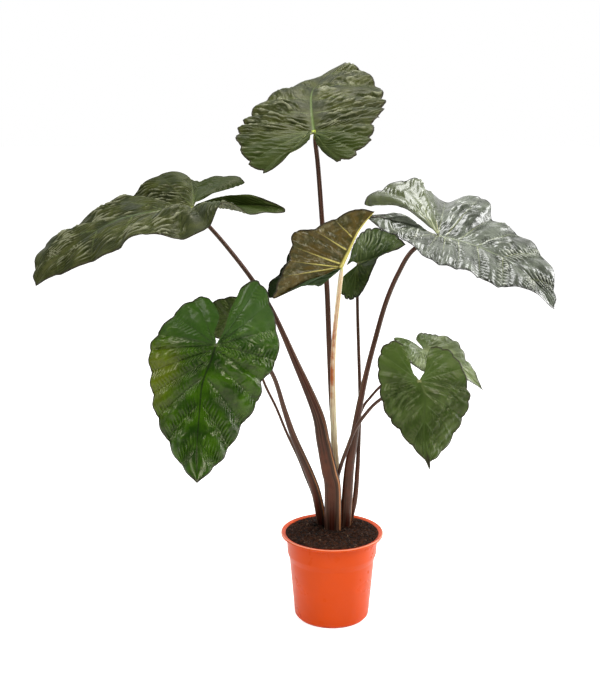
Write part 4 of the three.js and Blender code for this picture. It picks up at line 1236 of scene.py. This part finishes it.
class ALOCASIA_OT_stage(bpy.types.Operator):
    """Makes the floor, the soft lamps and the camera"""

    bl_idname = "alocasia.stage"
    bl_label = "Stage and camera"

    def execute(self, context):
        settings = context.scene.alocasia_stage
        corners = [(x * FLOOR_REACH, y * FLOOR_REACH, 0.0) for x, y in ((-1, -1), (1, -1), (1, 1), (-1, 1))]
        floor = in_scene("floor", mesh_of("floor", corners, [(0, 1, 2, 3)]))
        made = Finish("studio_floor")
        made.shade(base_color=(*settings.floor, 1), roughness=0.9, specular_ior_level=0.0)
        seen = made.node("ShaderNodeLightPath").outputs["Is Camera Ray"]
        made.feed(made.shader.inputs["Emission Color"], (1, 1, 1, 1))
        made.feed(made.shader.inputs["Emission Strength"], made.joined(seen, FLOOR_GLOW, "MULTIPLY"))
        floor.data.materials.append(made.material)
        context.scene.world = studio_air()
        for name, place, target, size, power in LAMPS:
            lamp = bpy.data.lights.new(name, "AREA")
            lamp.shape = "RECTANGLE"
            lamp.size, lamp.size_y = size
            lamp.energy = power * settings.light
            aim(in_scene(name, lamp), place, target)
        camera = in_scene("camera", bpy.data.cameras.new("camera"))
        camera.location = CAMERA_PLACE
        camera.rotation_euler = (math.pi / 2 - CAMERA_PITCH, 0, 0)
        camera.data.lens = camera.data.sensor_width * FOCAL_SHARE
        context.scene.camera = camera
        context.scene.view_settings.view_transform = "Standard"
        return {"FINISHED"}


def studio_air():
    """Air that the camera sees white, and that lights the plant from dim in front to bright behind."""
    air = bpy.data.worlds.new("studio")
    air.use_nodes = True
    wires = Wires(air.node_tree)
    direction = wires.node("ShaderNodeTexCoord").outputs["Generated"]
    backward = wires.node("ShaderNodeSeparateXYZ", {0: direction}).outputs["Y"]
    light = wires.node("ShaderNodeMapRange", {"Value": backward, **AIR}).outputs["Result"]
    seen = wires.node("ShaderNodeLightPath").outputs["Is Camera Ray"]
    background = wires.tree.nodes["Background"]
    wires.feed(background.inputs["Strength"], wires.joined(light, seen, "MAXIMUM"))
    wires.feed(background.inputs["Color"], (1, 1, 1, 1))
    return air


def aim(holder, place, target):
    """Puts a lamp at a place and points its -Z at the target."""
    direction = unit(np.array(target, float) - np.array(place, float))
    holder.location = place
    yaw = math.atan2(direction[0], direction[1])
    holder.rotation_euler = (math.acos(-direction[2]), 0, -yaw)


class ALOCASIA_OT_pot(bpy.types.Operator):
    """Makes the pot with its drain holes"""

    bl_idname = "alocasia.pot"
    bl_label = "Pot"

    def execute(self, context):
        places, triangles = turned(pot_profile(), POT["sides"])
        material = pot_material((*context.scene.alocasia_pot.plastic, 1))
        drill_drain_holes(add_piece("nursery_pot", places, triangles, material, "pot", "pot_plastic"))
        return {"FINISHED"}


class ALOCASIA_OT_soil(bpy.types.Operator):
    """Makes the soil and the bits of bark and fibre on it"""

    bl_idname = "alocasia.soil"
    bl_label = "Soil"

    def execute(self, context):
        material = soil_material((*context.scene.alocasia_pot.soil, 1))
        add_piece("potting_mix", *soil_solid(), material, "soil", "soil")
        draw = np.random.default_rng(SOIL["seed"])
        bits = crumb_material()
        for name, solids in (("bark_crumbs", crumb_solids), ("coir_fibres", fibre_solids)):
            places, triangles, values = solids(draw)
            add_piece(name, places, triangles, bits, None, "soil", values)
        return {"FINISHED"}


class ALOCASIA_OT_foliage(bpy.types.Operator):
    """Makes the nine blades and their petioles"""

    bl_idname = "alocasia.foliage"
    bl_label = "Blades and petioles"

    def execute(self, context):
        settings = context.scene.alocasia_foliage
        for number, (name, leaf) in enumerate(LEAVES.items()):
            end = add_blade(name, leaf, settings, 10 * number)
            add_petiole(name, leaf, end)
        return {"FINISHED"}


class ALOCASIA_PT_panel(bpy.types.Panel):
    bl_idname = "ALOCASIA_PT_panel"
    bl_label = "Alocasia"
    bl_space_type = "VIEW_3D"
    bl_region_type = "UI"
    bl_category = "Alocasia"

    def draw(self, context):
        for group, operators in (
            (context.scene.alocasia_pot, (ALOCASIA_OT_pot, ALOCASIA_OT_soil)),
            (context.scene.alocasia_foliage, (ALOCASIA_OT_foliage,)),
            (context.scene.alocasia_stage, (ALOCASIA_OT_stage,)),
        ):
            box = self.layout.box()
            for key in group.bl_rna.properties.keys():
                if key not in ("rna_type", "name"):
                    box.prop(group, key)
            for operator in operators:
                box.operator(operator.bl_idname)


GROUPS = {"alocasia_pot": AlocasiaPot, "alocasia_foliage": AlocasiaFoliage, "alocasia_stage": AlocasiaStage}
OPERATORS = (ALOCASIA_OT_stage, ALOCASIA_OT_pot, ALOCASIA_OT_soil, ALOCASIA_OT_foliage)


def register():
    for made in (*GROUPS.values(), *OPERATORS, ALOCASIA_PT_panel):
        bpy.utils.register_class(made)
    for name, group in GROUPS.items():
        setattr(bpy.types.Scene, name, bpy.props.PointerProperty(type=group))


def unregister():
    for name in GROUPS:
        delattr(bpy.types.Scene, name)
    for made in (ALOCASIA_PT_panel, *OPERATORS, *GROUPS.values()):
        bpy.utils.unregister_class(made)


def main():
    register()
    bpy.ops.alocasia.stage()
    bpy.ops.alocasia.pot()
    bpy.ops.alocasia.soil()
    bpy.ops.alocasia.foliage()


if __name__ == "__main__":
    main()
